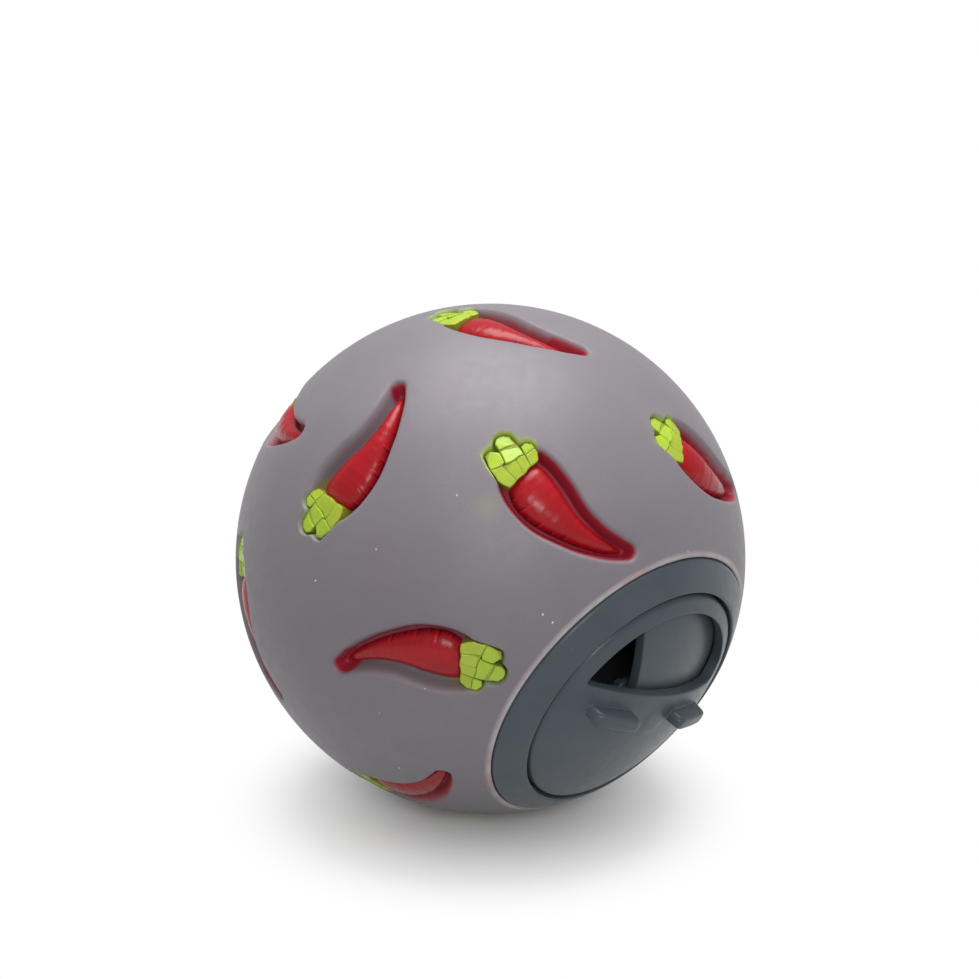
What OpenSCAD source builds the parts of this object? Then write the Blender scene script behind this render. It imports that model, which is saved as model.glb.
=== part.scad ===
/* [Ball] */
// Outside diameter of the ball
ball_d = 70; // [64:1:90]
// Wall of the soft shell
ball_wall = 4; // [3.6:0.1:6]
// How far the dispensing plug looks down from the horizon, in degrees
plug_tilt = 25; // [0:1:60]

/* [Plug insert] */
// Outside diameter of the ring that shows round the dial, as a share of the ball's
flange_share = 0.603; // [0.56:0.001:0.64]
// Width of the ring that shows round the dial
ring_w = 3.7; // [3:0.1:4.4]
// Bevel round the ring's outer edge
ring_bevel = 0.8; // [0.4:0.1:1]
// Thickness of the ring's gripping edge
flange_t = 2; // [1.6:0.1:2.4]
// How far the neck stands back under the ring's edge
neck_step = 1.1; // [0.8:0.1:1.5]
// Wall of the neck
neck_wall = 1.6; // [1.2:0.1:2]
// How far the snap bead at the neck's end stands out
bead_step = 1.6; // [1:0.1:2]
// Height of the snap bead
bead_h = 2; // [1.5:0.1:2.6]
// Thickness of the domed floor under the dial
floor_t = 1.5; // [1.2:0.1:1.8]
// Wall of the axle hub under the floor
hub_wall = 1.05; // [0.8:0.05:1.2]
// Space between the hub and the straight edge of the floor's window
hub_sill = 0.3; // [0.2:0.1:2]
// How far the hub reaches below the floor
hub_l = 2; // [1.5:0.1:3]

/* [Dial] */
// Thickness of the domed dial
dial_t = 1.5; // [1.2:0.1:1.8]
// How far the dial's dome lies below the ball's surface
dial_set = 0.4; // [0.2:0.05:0.8]
// Bevel round the dial's rim, the ring's inner edge and the shell's lip
edge_bevel = 0.4; // [0.2:0.05:0.5]
// Width of the dial outside the round side of the half-moon windows
window_rim = 2.2; // [1.8:0.1:3]
// Space between the finger ribs and the straight edge of the dial's window
window_sill = 2.35; // [1.5:0.05:4]
// Turn of the dial's window from upright, clockwise, in degrees
window_turn = 16; // [0:1:90]
// Length of each finger rib, as a share of the dial's diameter
rib_share = 0.222; // [0.16:0.002:0.23]
// Width of a finger rib
rib_w = 1.9; // [1.4:0.1:2.4]
// Height of a finger rib above the dome
rib_h = 2.2; // [1.5:0.1:3]
// Clear space between the two finger ribs, as a share of the dial's diameter
rib_gap_share = 0.231; // [0.18:0.001:0.24]
// How far the middle of the pair lies to the left of the axle, as the same share
rib_shift_share = 0.035; // [0:0.005:0.04]
// How far the ribs lie from the axle towards the window
rib_rise = 0.6; // [0:0.1:1.4]
// Diameter of the round boss over the axle
boss_d = 4.2; // [3:0.1:5]
// Height of the boss above the dome
boss_h = 0.15; // [0.1:0.05:0.5]

/* [Axle] */
// Diameter of the axle pin
pin_d = 4; // [3:0.1:4.4]
// How far the snap barb stands out from the pin
barb_step = 0.45; // [0.3:0.05:0.6]
// Height of the snap barb
barb_h = 1.6; // [1.2:0.1:2]
// Width of the slot that lets the barb spring
barb_slot = 0.8; // [0.6:0.1:1.2]

/* [Carrot reliefs] */
// Length of a root, as a share of the way round the ball from the ring to the back
root_share = 0.1947; // [0.15:0.0001:0.2]
// Width of a root where it is widest, as a share of its length
root_w_share = 0.376; // [0.3:0.002:0.4]
// How far the top of a root lies below the ball's surface
root_sink = 0.2; // [0.1:0.05:0.5]
// Length of a crease in a root's flank, as a share of the root's length
crease_l_share = 0.042; // [0.03:0.002:0.05]
// Depth of a crease in a root's flank
crease_d = 0.4; // [0.1:0.05:0.5]
// Bend of a root from end to end, in degrees
root_bend = 56; // [40:1:60]
// Length of the middle leaf, as a share of the root's length
leaf_share = 0.347; // [0.26:0.001:0.36]
// Width of each leaf, as a share of the middle leaf's length
leaf_w_share = 0.34; // [0.3:0.01:0.36]
// How far the edges of a leaf's scales lie below the ball's surface
leaf_sink = 0.3; // [0.2:0.05:0.6]
// Depth of the pockets, as a share of the shell's wall
pocket_share = 0.575; // [0.45:0.005:0.6]
// Space round a root in its pocket
pocket_rim = 0.8; // [0.5:0.1:1]
// Space round the leaves in their pocket
leaf_rim = 0.5; // [0.3:0.1:0.7]

/* [Fits] */
// Gap between the dial and what surrounds it
dial_gap = 0.3; // [0.25:0.05:0.4]
// Gap round the plug in the shell's mouth
mouth_gap = 0.1; // [0.05:0.05:0.3]
// Gap between the snap bead and the shell's inside
bead_gap = 0.3; // [0.1:0.05:0.5]
// Running gap round the axle pin, on the radius
run_gap = 0.05; // [0.02:0.01:0.1]
// Gap under a relief in its pocket and under the ring's edge
seat_gap = 0.1; // [0.05:0.05:0.2]

/* [Hidden] */
ball_r = ball_d / 2;
cavity_r = ball_r - ball_wall;
flange_r = ball_r * flange_share;
neck_r = flange_r - neck_step;
well_r = flange_r - ring_w;
dial_r = well_r - dial_gap;
dial_d = dial_r * 2;
window_r = dial_r - window_rim;
dome_r = ball_r - dial_set;
dome_in_r = dome_r - dial_t;
floor_r = dome_in_r - dial_gap;
floor_in_r = floor_r - floor_t;
pin_r = pin_d / 2;
bore_r = pin_r + run_gap;
hub_r = bore_r + hub_wall;
floor_sill = hub_r + hub_sill;
dial_sill = rib_rise + rib_w / 2 + window_sill;
rib_l = dial_d * rib_share;
rib_gap = dial_d * rib_gap_share;
rib_shift = dial_d * rib_shift_share;
// Share of the barb's height and of the bead's that is its straight side
barb_lead_share = 1 / 3;
bead_lead_share = 0.3;
// Overrun of every cut past the faces it goes through
over = ball_wall;

// Height above the ball's centre of the point of a sphere of radius R at radius r
function dome_z(R, r) = sqrt(R * R - r * r);
flange_z = dome_z(ball_r, flange_r) - flange_t;
bead_z = dome_z(cavity_r, neck_r + bead_step) - bead_gap;
neck_end_z = bead_z - bead_h;
hub_end_z = floor_in_r - hub_l;
barb_z = hub_end_z - dial_gap;

// Angle at the ball's centre from the plug's axis to the ring's edge, and the way
// round the ball from there to the back
ring_angle = asin(flange_share);
back_way = ball_r * (180 - ring_angle) * PI / 180;
root_l = back_way * root_share;
root_w = root_l * root_w_share;
leaf_l = root_l * leaf_share;
leaf_w = leaf_l * leaf_w_share;
pocket_d = ball_wall * pocket_share;
root_h = pocket_d - seat_gap - root_sink;
leaf_h = pocket_d - seat_gap - leaf_sink;

// The reliefs lie in rings round the plug. Each row is the share of the way from
// the ring to the back, the angle round the plug's axis and the way the tip points
place_shares = [
    [0.132, 114, 202],
    [0.437, 140, -74],
    [0.176, 173.5, 33],
    [0.458, 92, 203],
    [0.16, 58, 264],
    [0.665, 150.2, 183.4],
    [0.468, 200, 145],
    [0.146, 219, 220],
    [0.258, 258, 21],
    [0.174, 300, 231],
    [0.097, 2, 115],
    [0.468, 249, 64],
    [0.419, 284, 193],
    [0.475, 326, -68],
    [0.44, 38, 30],
    [0.734, 234, 70],
    [0.699, 293, 271],
    [0.727, 3, 165],
    [0.713, 51, -94],
    [0.923, 99, -16]
];
function label(i) = i < 9 ? str("0", i + 1) : str(i + 1);
ROOTS = [for (i = [0 : len(place_shares) - 1]) str("carrot_root_", label(i))];
TOPS = [for (i = [0 : len(place_shares) - 1]) str("carrot_top_", label(i))];

shell_colour = [0.56, 0.52, 0.54];
plug_colour = [0.32, 0.35, 0.37];
root_colour = [0.72, 0.06, 0.10];
top_colour = [0.66, 0.80, 0.12];

// A root's width and height at shares of its length, from its shoulder to its tip
width_shares = [
    [0, 0.72], [0.05, 0.9], [0.1, 0.98], [0.18, 1], [0.3, 0.94], [0.5, 0.63], [0.75, 0.37], [0.92, 0.24], [1, 0.12]];
height_shares = [[0, 0.78], [0.1, 0.95], [0.25, 1], [0.5, 0.88], [0.75, 0.66], [0.92, 0.42], [1, 0.2]];
// Creases: the share of the length where each lies, and its side of the root
crease_shares = [[0.2, 1], [0.33, -1], [0.47, 1], [0.63, -1]];
crease_half_share = crease_l_share / 2;
pocket_shares = [0, 0.06, 0.18, 0.34, 0.52, 0.68, 0.84, 0.94, 1];
root_shares = concat(
    [0, 0.05, 0.11],
    [for (c = crease_shares) for (s = [-1, 0, 1]) c[0] + s * crease_half_share],
    [0.78, 0.9, 1]);
// Share of the pocket's rim that shows beside the very tip
tip_share = 0.5;
root_turn_r = root_l / (root_bend * PI / 180);

// Middle line of a root, bent about a point on its hollow side
function spine(t) = let (a = root_bend * (t - 0.5))
    [root_turn_r * sin(a), root_turn_r * (cos(root_bend / 2) - cos(a))];
// Unit vector to the left of the middle line
function side(t) = let (a = root_bend * (t - 0.5)) [-sin(a), cos(a)];
function ahead(t) = let (a = root_bend * (t - 0.5)) [cos(a), sin(a)];
// Point p of a flat drawing laid on a sphere of radius r round the ball's centre
function wrap(p, r) = let (d = norm(p), a = d / ball_r * 180 / PI)
    d == 0 ? [0, 0, r] : [r * sin(a) * p[0] / d, r * sin(a) * p[1] / d, r * cos(a)];

// Left and right points of a root's outline, grown by g all round, at share t
function grown(t, g) = let (
        e = t == 0 ? -g : (t == 1 ? g : 0),
        w = root_w / 2 * lookup(t, width_shares) + g * (t == 1 ? tip_share : 1),
        p = spine(t) + ahead(t) * e)
    [p + side(t) * w, p - side(t) * w];
// The same outline as one loop: up the left side and back down the right side
function loop(g) = let (pairs = [for (t = pocket_shares) grown(t, g)], last = len(pairs) - 1) concat(
    [for (q = pairs) q[0]],
    [for (i = [last : -1 : 0]) pairs[i][1]]);

// Solid between stacked loops of equal length, given as lists of points. Its end
// caps are strips from side to side
function wall_faces(n, rows) = [for (k = [0 : rows - 2]) for (j = [0 : n - 1])
    for (f = [[k * n + j, k * n + (j + 1) % n, (k + 1) * n + (j + 1) % n],
              [k * n + j, (k + 1) * n + (j + 1) % n, (k + 1) * n + j]]) f];
function cap_faces(n, base, up) = [for (j = [0 : n / 2 - 2]) let (
        a = base + j,
        b = base + j + 1,
        c = base + n - 2 - j,
        d = base + n - 1 - j)
    for (f = up ? [[a, b, c], [a, c, d]] : [[a, c, b], [a, d, c]]) f];
module stack(loops) {
    n = len(loops[0]);
    polyhedron(
        points = [for (l = loops) each l],
        faces = concat(
            wall_faces(n, len(loops)),
            cap_faces(n, 0, false),
            cap_faces(n, n * (len(loops) - 1), true)));
}

// Turns a shape drawn along +Z so that it looks along the plug's axis
module plug_frame() {
    rotate([90 + plug_tilt, 0, 0]) children();
}
// Turns a relief drawn round +Z to its place on the ball
module at_place(p) {
    lean = ring_angle + p[0] * (180 - ring_angle);
    plug_frame() rotate([0, 0, p[1]]) rotate([0, lean, 0]) rotate([0, 0, p[2]]) children();
}
// Turns a shape drawn at +Z to point p of the flat drawing, turned by a
module seat(p, a) {
    d = norm(p);
    way = atan2(p[1], p[0]);
    rotate([0, 0, way]) rotate([0, d / ball_r * 180 / PI, 0]) rotate([0, 0, a - way]) children();
}

// Leaves fan out behind the shoulder. Each row is the leaf's turn in degrees, the
// share of its width by which its root lies off the middle, its share of length
// and how many scales it has
leaf_shares = [[30, 0.55, 0.74, 2], [4, 0, 0.98, 3], [-12, -0.5, 0.6, 2]];
// Height at the inner end of a scale, as a share of its outer edge's
scale_low_share = 0.6;
// How far the leaves begin off the root's end, where the flat drawing meets the dome
leaf_start = leaf_l / 2 - (ball_r - pocket_d) * tan(leaf_l / ball_r * 90 / PI) + seat_gap;

// Places the leaves' flat drawing, which points away from the root along +X
module leaf_frame() {
    way = 180 - root_bend / 2;
    seat(spine(0) - ahead(0) * leaf_l / 2, way) translate([-leaf_l / 2, 0, ball_r - pocket_d]) children();
}
// One leaf: a row of scales, each rising to its outer edge
module leaf(length, scales) {
    step = length / scales;
    low = leaf_h * scale_low_share;
    profile = concat([[-leaf_w, 0], [-leaf_w, low]],
        [for (k = [0 : scales - 1]) each [[k * step, low], [(k + 1) * step, leaf_h]]],
        [[length, 0]]);
    translate([0, leaf_w / 2, seat_gap]) rotate([90, 0, 0]) linear_extrude(leaf_w) polygon(profile);
}
module leaves() {
    leaf_frame() difference() {
        for (f = leaf_shares)
            translate([0, f[1] * leaf_w, 0]) rotate(f[0]) leaf(leaf_l * f[2], f[3]);
        translate([leaf_start - leaf_l, -leaf_l, -over]) cube([leaf_l, leaf_l * 2, over * 2]);
    }
}
module leaf_pocket() {
    leaf_frame() linear_extrude(pocket_d + over)
        for (f = leaf_shares)
            translate([0, f[1] * leaf_w])
                rotate(f[0])
                    translate([-pocket_rim, -leaf_w / 2 - leaf_rim])
                        square([leaf_l * f[2] + pocket_rim + leaf_rim, leaf_w + leaf_rim * 2]);
}
// Rows of the pocket's wall: shares of the rim's width and of the pocket's depth
rim_shares = [[0.4, 1], [0.8, 0.3], [1, 0.08], [1.4, -0.08]];
module root_pocket() {
    rows = [for (s = rim_shares) [for (p = loop(pocket_rim * s[0])) wrap(p, ball_r - pocket_d * s[1])]];
    brim = [for (p = loop(pocket_rim * rim_shares[3][0])) wrap(p, ball_r + over)];
    stack(concat(rows, [brim]));
}

// Half-moon window, its round side up, cut through everything along the axis
module window(sill) {
    translate([0, 0, dome_z(floor_in_r, window_r) - over])
        linear_extrude(ball_r)
            intersection() {
                circle(window_r, $fn = 96);
                translate([-ball_r, sill]) square([ball_d, ball_r]);
            }
}

// Bevels a turned profile's corner at radius r on a dome of radius R
module edge_cut(R, r, bevel) {
    translate([r, dome_z(R, r)]) rotate(45) square(bevel * sqrt(2), center = true);
}

// Half section of the shell about the plug's axis. Its mouth has a counterbore for
// the ring and a hole that grips the neck
module shell_profile() {
    difference() {
        circle(ball_r, $fn = 90);
        circle(cavity_r, $fn = 60);
        translate([-ball_d, -ball_r]) square([ball_d, ball_d]);
        translate([0, flange_z - seat_gap]) square([flange_r + mouth_gap, ball_r]);
        square([neck_r + mouth_gap, ball_d]);
        edge_cut(ball_r, flange_r + mouth_gap, edge_bevel);
    }
}
module ball_shell() {
    color(shell_colour) difference() {
        plug_frame() rotate_extrude($fn = 90) shell_profile();
        for (p = place_shares) at_place(p) {
            root_pocket();
            leaf_pocket();
        }
    }
}

// Half section of the insert about its axis
module insert_profile() {
    neck_in = neck_r - neck_wall;
    difference() {
        union() {
            intersection() {
                circle(ball_r, $fn = 180);
                polygon([
                    [neck_in, neck_end_z],
                    [neck_r, neck_end_z],
                    [neck_r + bead_step, bead_z - bead_h * bead_lead_share],
                    [neck_r + bead_step, bead_z],
                    [neck_r, bead_z + bead_step],
                    [neck_r, flange_z],
                    [flange_r, flange_z],
                    [flange_r, ball_r],
                    [well_r, ball_r],
                    [well_r, flange_z + flange_t / 2],
                    [neck_in, flange_z]
                ]);
            }
            intersection() {
                difference() {
                    circle(floor_r, $fn = 180);
                    circle(floor_in_r, $fn = 180);
                }
                square([neck_r - neck_wall / 2, ball_r]);
            }
            translate([0, hub_end_z]) square([hub_r, hub_l + floor_t / 2]);
        }
        translate([0, hub_end_z - over]) square([bore_r, ball_r]);
        edge_cut(ball_r, flange_r, ring_bevel);
        edge_cut(ball_r, well_r, edge_bevel);
    }
}
module plug_insert() {
    color(plug_colour) plug_frame() difference() {
        rotate_extrude($fn = 96) insert_profile();
        rotate([0, 0, 90]) window(floor_sill);
    }
}

module dial_profile() {
    difference() {
        union() {
            intersection() {
                difference() {
                    circle(dome_r, $fn = 180);
                    circle(dome_in_r, $fn = 180);
                }
                square([dial_r, ball_r]);
            }
            intersection() {
                circle(dome_r + boss_h, $fn = 180);
                translate([0, dome_in_r]) square([boss_d / 2, ball_r]);
            }
            translate([0, barb_z]) square([pin_r, dome_in_r + dial_t / 2 - barb_z]);
            polygon([
                [0, barb_z],
                [pin_r + barb_step, barb_z],
                [pin_r + barb_step, barb_z - barb_h * barb_lead_share],
                [pin_r - barb_step, barb_z - barb_h],
                [0, barb_z - barb_h]
            ]);
        }
        edge_cut(dome_r, dial_r, edge_bevel);
    }
}
// A finger rib: a round-ended bar that follows the dome at its own height
module finger_rib(x) {
    intersection() {
        translate([x, rib_rise, dome_z(dome_in_r, dial_r)])
            linear_extrude(ball_r)
                union() {
                    square([rib_l - rib_w, rib_w], center = true);
                    for (s = [-1, 1]) translate([s * (rib_l - rib_w) / 2, 0]) circle(d = rib_w, $fn = 32);
                }
        difference() {
            sphere(dome_r + rib_h, $fn = 60);
            sphere(dome_in_r + dial_t / 2, $fn = 60);
        }
    }
}
module dial() {
    color(plug_colour) plug_frame() difference() {
        union() {
            rotate_extrude($fn = 96) dial_profile();
            rotate([0, 0, -window_turn])
                for (s = [-1, 1]) finger_rib(s * (rib_gap + rib_l) / 2 - rib_shift);
        }
        rotate([0, 0, -window_turn]) window(dial_sill);
        translate([-barb_slot / 2, -hub_r, barb_z - barb_h - over])
            cube([barb_slot, hub_r * 2, over + barb_h + hub_l / 2]);
    }
}

// Flat sides across a root's arch
arch_count = 6;
// How far a crease draws in the flank on side s at share t
function crease(t, s) = let (
        hits = [for (c = crease_shares) if (abs(c[0] - t) < crease_half_share / 2 && c[1] == s) c])
    len(hits) > 0 ? crease_d : 0;
// Arch of m steps across the root at share t, from its left foot to its right foot
function arch(t, m) = let (
        w = root_w / 2 * lookup(t, width_shares),
        h = root_h * lookup(t, height_shares))
    [for (k = [0 : m]) let (
            a = 180 * k / m,
            d = k < m / 2 ? crease(t, 1) : crease(t, -1),
            y = (w - d) * cos(a),
            z = (h - (k == m / 2 ? 0 : d)) * sin(a))
        wrap(spine(t) + side(t) * y, ball_r - pocket_d + seat_gap + z)];
module carrot_root(p) {
    m = arch_count;
    last = len(root_shares) - 1;
    color(root_colour) at_place(p) polyhedron(
        points = [for (t = root_shares) each arch(t, m)],
        faces = concat(
            [for (i = [0 : last - 1]) for (k = [0 : m - 1]) let (a = i * (m + 1) + k, b = a + m + 1)
                for (f = [[a, b + 1, a + 1], [a, b, b + 1]]) f],
            [for (i = [0 : last - 1]) let (a = i * (m + 1), b = a + m + 1)
                for (f = [[a, b + m, b], [a, a + m, b + m]]) f],
            [for (k = [1 : m - 1]) [0, k, k + 1]],
            [for (k = [1 : m - 1]) let (a = last * (m + 1)) [a, a + k + 1, a + k]]));
}
module carrot_top(p) {
    color(top_colour) at_place(p) leaves();
}

ball_shell();
plug_insert();
dial();
for (i = [0 : len(place_shares) - 1]) {
    carrot_root(place_shares[i]);
    carrot_top(place_shares[i]);
}
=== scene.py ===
import math
import random

import bmesh
import bpy
import numpy as np
from mathutils import Matrix, Vector
from mathutils.geometry import delaunay_2d_cdt


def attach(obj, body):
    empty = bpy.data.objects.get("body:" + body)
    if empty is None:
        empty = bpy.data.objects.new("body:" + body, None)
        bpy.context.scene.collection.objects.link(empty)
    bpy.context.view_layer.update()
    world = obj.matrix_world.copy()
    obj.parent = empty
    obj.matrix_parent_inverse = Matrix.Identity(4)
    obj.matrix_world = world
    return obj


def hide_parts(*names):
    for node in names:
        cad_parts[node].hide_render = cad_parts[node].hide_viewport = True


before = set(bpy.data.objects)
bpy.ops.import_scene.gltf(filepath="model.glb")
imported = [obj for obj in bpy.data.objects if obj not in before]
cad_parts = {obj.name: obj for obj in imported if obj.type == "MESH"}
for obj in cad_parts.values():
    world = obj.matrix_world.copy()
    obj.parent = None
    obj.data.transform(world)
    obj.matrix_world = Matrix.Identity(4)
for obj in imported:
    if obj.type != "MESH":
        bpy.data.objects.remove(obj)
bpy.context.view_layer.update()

bl_info = {
    "name": "Treat Dispensing Ball",
    "version": (1, 0, 0),
    "blender": (4, 5, 0),
    "location": "3D View > Sidebar > Treat Ball",
    "description": "Builds a soft treat ball with carrot reliefs and a plug with a turning dial",
    "category": "Add Mesh",
}

MM = 0.001
BODY = "ball"
DIAL_BODY = "dial"

# Where the reliefs lie: the angle from the plug's axis, the angle round it and the
# way the tip points, in degrees, at the same places as the solids, and how fully
# the red spray covers the pocket's walls
PLACES = [
    (56, 114, 202, 1.0), (99.5, 140, -74, 0.05), (62.2, 173.5, 33, 0.2), (102.5, 92, 203, 0.7),
    (60, 58, 264, 0.75), (132.1, 150.2, 183.4, 0.5), (104, 200, 145, 0.6), (58, 219, 220, 0.9),
    (74, 258, 21, 0.5), (62, 300, 231, 0.8), (51, 2, 115, 0.4), (104, 249, 64, 0.9),
    (97, 284, 193, 0.3), (105, 326, -68, 0.8), (100, 38, 30, 0.6), (142, 234, 70, 0.4),
    (137, 293, 271, 0.9), (141, 3, 165, 0.5), (139, 51, -94, 1.0), (169, 99, -16, 0.4),
]
# A root's width and height at shares of its length, from shoulder to tip
WIDTH_SHARES = [(0, 0.78), (0.04, 0.92), (0.1, 0.99), (0.18, 1), (0.3, 0.94), (0.5, 0.63),
                (0.75, 0.37), (0.92, 0.24), (1, 0.12)]
HEIGHT_SHARES = [(0, 0.78), (0.1, 0.95), (0.25, 1), (0.5, 0.88), (0.75, 0.66), (0.92, 0.42),
                 (1, 0.2)]
# How far to either side a share table is averaged to round off its corners
TABLE_SOFTNESS = 0.05
# The leaves' scales, drawn one by one: way out from the shoulder as a share of the leaves'
# length, and way towards the bulging side as a share of a leaf's width
FOOT_SCALES = [
    [(0.0, 1.3), (0.0, 0.68), (0.37, 0.95), (0.41, 1.75), (0.2, 1.72)],
    [(0.0, 0.68), (0.0, 0.02), (0.36, 0.1), (0.37, 0.95)],
    [(0.0, 0.02), (0.0, -0.62), (0.37, -0.68), (0.36, 0.1)],
    [(0.0, -0.62), (0.0, -1.25), (0.2, -1.5), (0.37, -1.48), (0.37, -0.68)],
]
OUTER_SCALES = [
    [(0.41, 1.75), (0.37, 0.95), (0.4, 0.72), (0.66, 0.72), (0.79, 1.12), (0.74, 1.62)],
    [(0.37, 0.72), (0.36, 0.1), (0.37, -0.64), (0.68, -0.56), (0.71, 0.66)],
    [(0.71, 0.66), (0.68, -0.56), (0.9, -0.46), (0.98, -0.05), (0.96, 0.4), (0.88, 0.64)],
    [(0.37, -0.68), (0.37, -1.48), (0.52, -1.5), (0.6, -1.15), (0.57, -0.68)],
]
# How far the shoulder's edge leans, as a share of the way across, and the share of the
# leaves' length over which the lean fades
SHOULDER_LEAN = 0.32
LEAN_FADE = 0.41
# How much wider a pocket is on a root's hollow side, in millimetres, from shoulder to tip
HOLLOW_SPACE = [(0, 0.2), (0.15, 0.25), (0.5, 0.2), (0.8, 0.05), (1, 0)]
# Space round a root as a share of its rim, narrower past the middle towards the tip
RIM_SHARES = [(0, 1), (0.6, 1), (1, 0.66), (1.02, 0.62)]
# Small marks on the shell, with their places in millimetres: pale flecks, and paint
# stains with their radius, paint, shade and strength
FLECKS = [(-18.4, -29.5, 3.9), (-17.4, -30.2, 2.8), (-34.2, -4.7, 5.7), (-30.8, -12.6, 11),
          (-26.4, -11.3, -20), (-28.6, -19.1, -6.1)]
FLECK_RADIUS = 0.16
STAINS = [((-21.2, -22.4, 16.7), 2.4, "lime", 0.8, 0.14),
          ((-16.4, -10.5, 29.1), 2, "red", 1.2, 0.03),
          ((-30.6, -14.5, 8.7), 3, "red", 1.2, 0.03)]
STAIN_FADE = 0.9
# Least length that anything is divided by
TINY = 1e-12


# Sizes and colours

def length(name, text, millimetres, low=0.0):
    return bpy.props.FloatProperty(name=name, description=text, default=millimetres * MM, min=low,
                                   unit="LENGTH", subtype="DISTANCE", precision=5)


def angle(name, text, degrees):
    return bpy.props.FloatProperty(name=name, description=text, default=math.radians(degrees),
                                   unit="ROTATION", subtype="ANGLE")


def share(name, text, value):
    return bpy.props.FloatProperty(name=name, description=text, default=value, min=0, max=1,
                                   subtype="FACTOR")


def colour(name, text, value):
    return bpy.props.FloatVectorProperty(name=name, description=text, default=value, size=3,
                                         min=0, max=1, subtype="COLOR")


class BallSizes(bpy.types.PropertyGroup):
    diameter: length("Diameter", "Outside diameter of the ball, a hair inside its solid", 69.96)
    wall: length("Wall", "Wall of the soft shell", 4)
    plug_tilt: angle("Plug tilt", "How far the plug looks down from the horizon", 25)
    lip_round: length("Lip round", "Rounding of the mouth's lip", 0.34)
    mouth: length("Mouth", "Diameter of the mouth's counterbore", 42.4)
    neck_hole: length("Neck hole", "Diameter of the hole that grips the plug", 40.2)
    shelf: length("Shelf", "Height of the counterbore's shelf over the ball's centre", 25.82)


class CarrotSizes(bpy.types.PropertyGroup):
    root_length: length("Root length", "Length of a root from shoulder to tip", 17)
    root_width: length("Root width", "Width of a root at its shoulder", 6.4)
    root_height: length("Root height", "Height of a root above its pocket's floor", 2)
    root_bend: angle("Root bend", "Bend of a root from end to end", 56)
    leaf_length: length("Leaf length", "Length of the middle leaf", 5.9)
    leaf_width: length("Leaf width", "Width of each leaf", 2.0)
    leaf_height: length("Leaf height", "Height of a leaf at its scales' edges", 1.9)
    pocket_depth: length("Pocket depth", "Depth of the pockets below the ball's surface", 2.3)
    root_rim: length("Root rim", "Space round a root in its pocket", 0.8)
    leaf_rim: length("Leaf rim", "Space beside the leaves' feet in their pocket", 0.1)
    leaf_end_rim: length("Leaf end rim", "Space past the leaves' ends in their pocket", 0.3)
    seat: length("Seat", "Gap under a relief", 0.1)


class PlugSizes(bpy.types.PropertyGroup):
    ring: length("Ring", "Outside diameter of the ring", 42.2)
    ring_foot: length("Ring foot", "Height of the ring's underside over the ball's centre", 25.92)
    neck: length("Neck", "Outside diameter of the neck", 40)
    neck_wall: length("Neck wall", "Wall of the neck", 1.6)
    bead_step: length("Bead step", "How far the snap bead stands out", 1.6)
    bead_top: length("Bead top", "Height of the bead's widest part over the ball's centre", 21.94)
    bead_height: length("Bead height", "Height of the snap bead", 2)
    well: length("Well", "Diameter of the well that the dial turns in", 34.8)
    floor_dome: length("Floor dome", "Radius of the floor's outer face", 32.8)
    floor_wall: length("Floor wall", "Thickness of the domed floor", 1.5)
    floor_sill: length("Floor sill", "From the axle to the floor window's straight edge", 3.4)
    window: length("Window", "Radius of the round side of the windows", 14.9)
    corner: length("Corner", "Rounding of the floor window's corners", 1.1)
    blunt_corner: length("Blunt corner", "Rounding of the dial window's right corner", 2.3)
    sharp_corner: length("Sharp corner", "Rounding of the dial window's left corner", 0.35)
    ring_round: length("Ring round", "Rounding of the ring's outer edge", 0.85)
    edge_round: length("Edge round", "Rounding of the dial's rim and the ring's inner edge", 0.5)
    window_round: length("Window round", "Rounding of the edges of the dial's window", 0.2)
    hub: length("Hub", "Diameter of the axle hub", 6.2)
    hub_drop: length("Hub drop", "How far the hub reaches below the floor", 2)
    bore: length("Bore", "Diameter of the hub's bore", 4.1)
    dial: length("Dial", "Diameter of the turning dial", 33.95)
    dial_dome: length("Dial dome", "Radius of the dial's outer face", 34.6)
    dial_wall: length("Dial wall", "Thickness of the dial", 1.5)
    dial_sill: length("Dial sill", "From the axle to the dial window's straight edge", 3.9)
    window_turn: angle("Window turn", "Turn of the dial's window from upright, clockwise", 16)
    rib_length: length("Rib length", "Length of each finger rib", 7.6)
    rib_width: length("Rib width", "Width of a finger rib", 1.9)
    rib_height: length("Rib height", "Height of a finger rib above the dome", 2.2)
    rib_gap: length("Rib gap", "Clear space between the ribs", 7.9)
    rib_shift: length("Rib shift", "How far the pair lies left of the axle", 1.2)
    rib_rise: length("Rib rise", "How far the ribs lie towards the window", 0.6)
    boss: length("Boss", "Diameter of the boss over the axle", 4.2)
    boss_height: length("Boss height", "Height of the boss", 0.1)
    pin: length("Pin", "Diameter of the axle pin", 4)
    barb_step: length("Barb step", "How far the barb stands out from the pin", 0.45)
    barb_height: length("Barb height", "Height of the snap barb", 1.6)
    barb_slot: length("Barb slot", "Width of the slot in the barb", 0.8)


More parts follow.
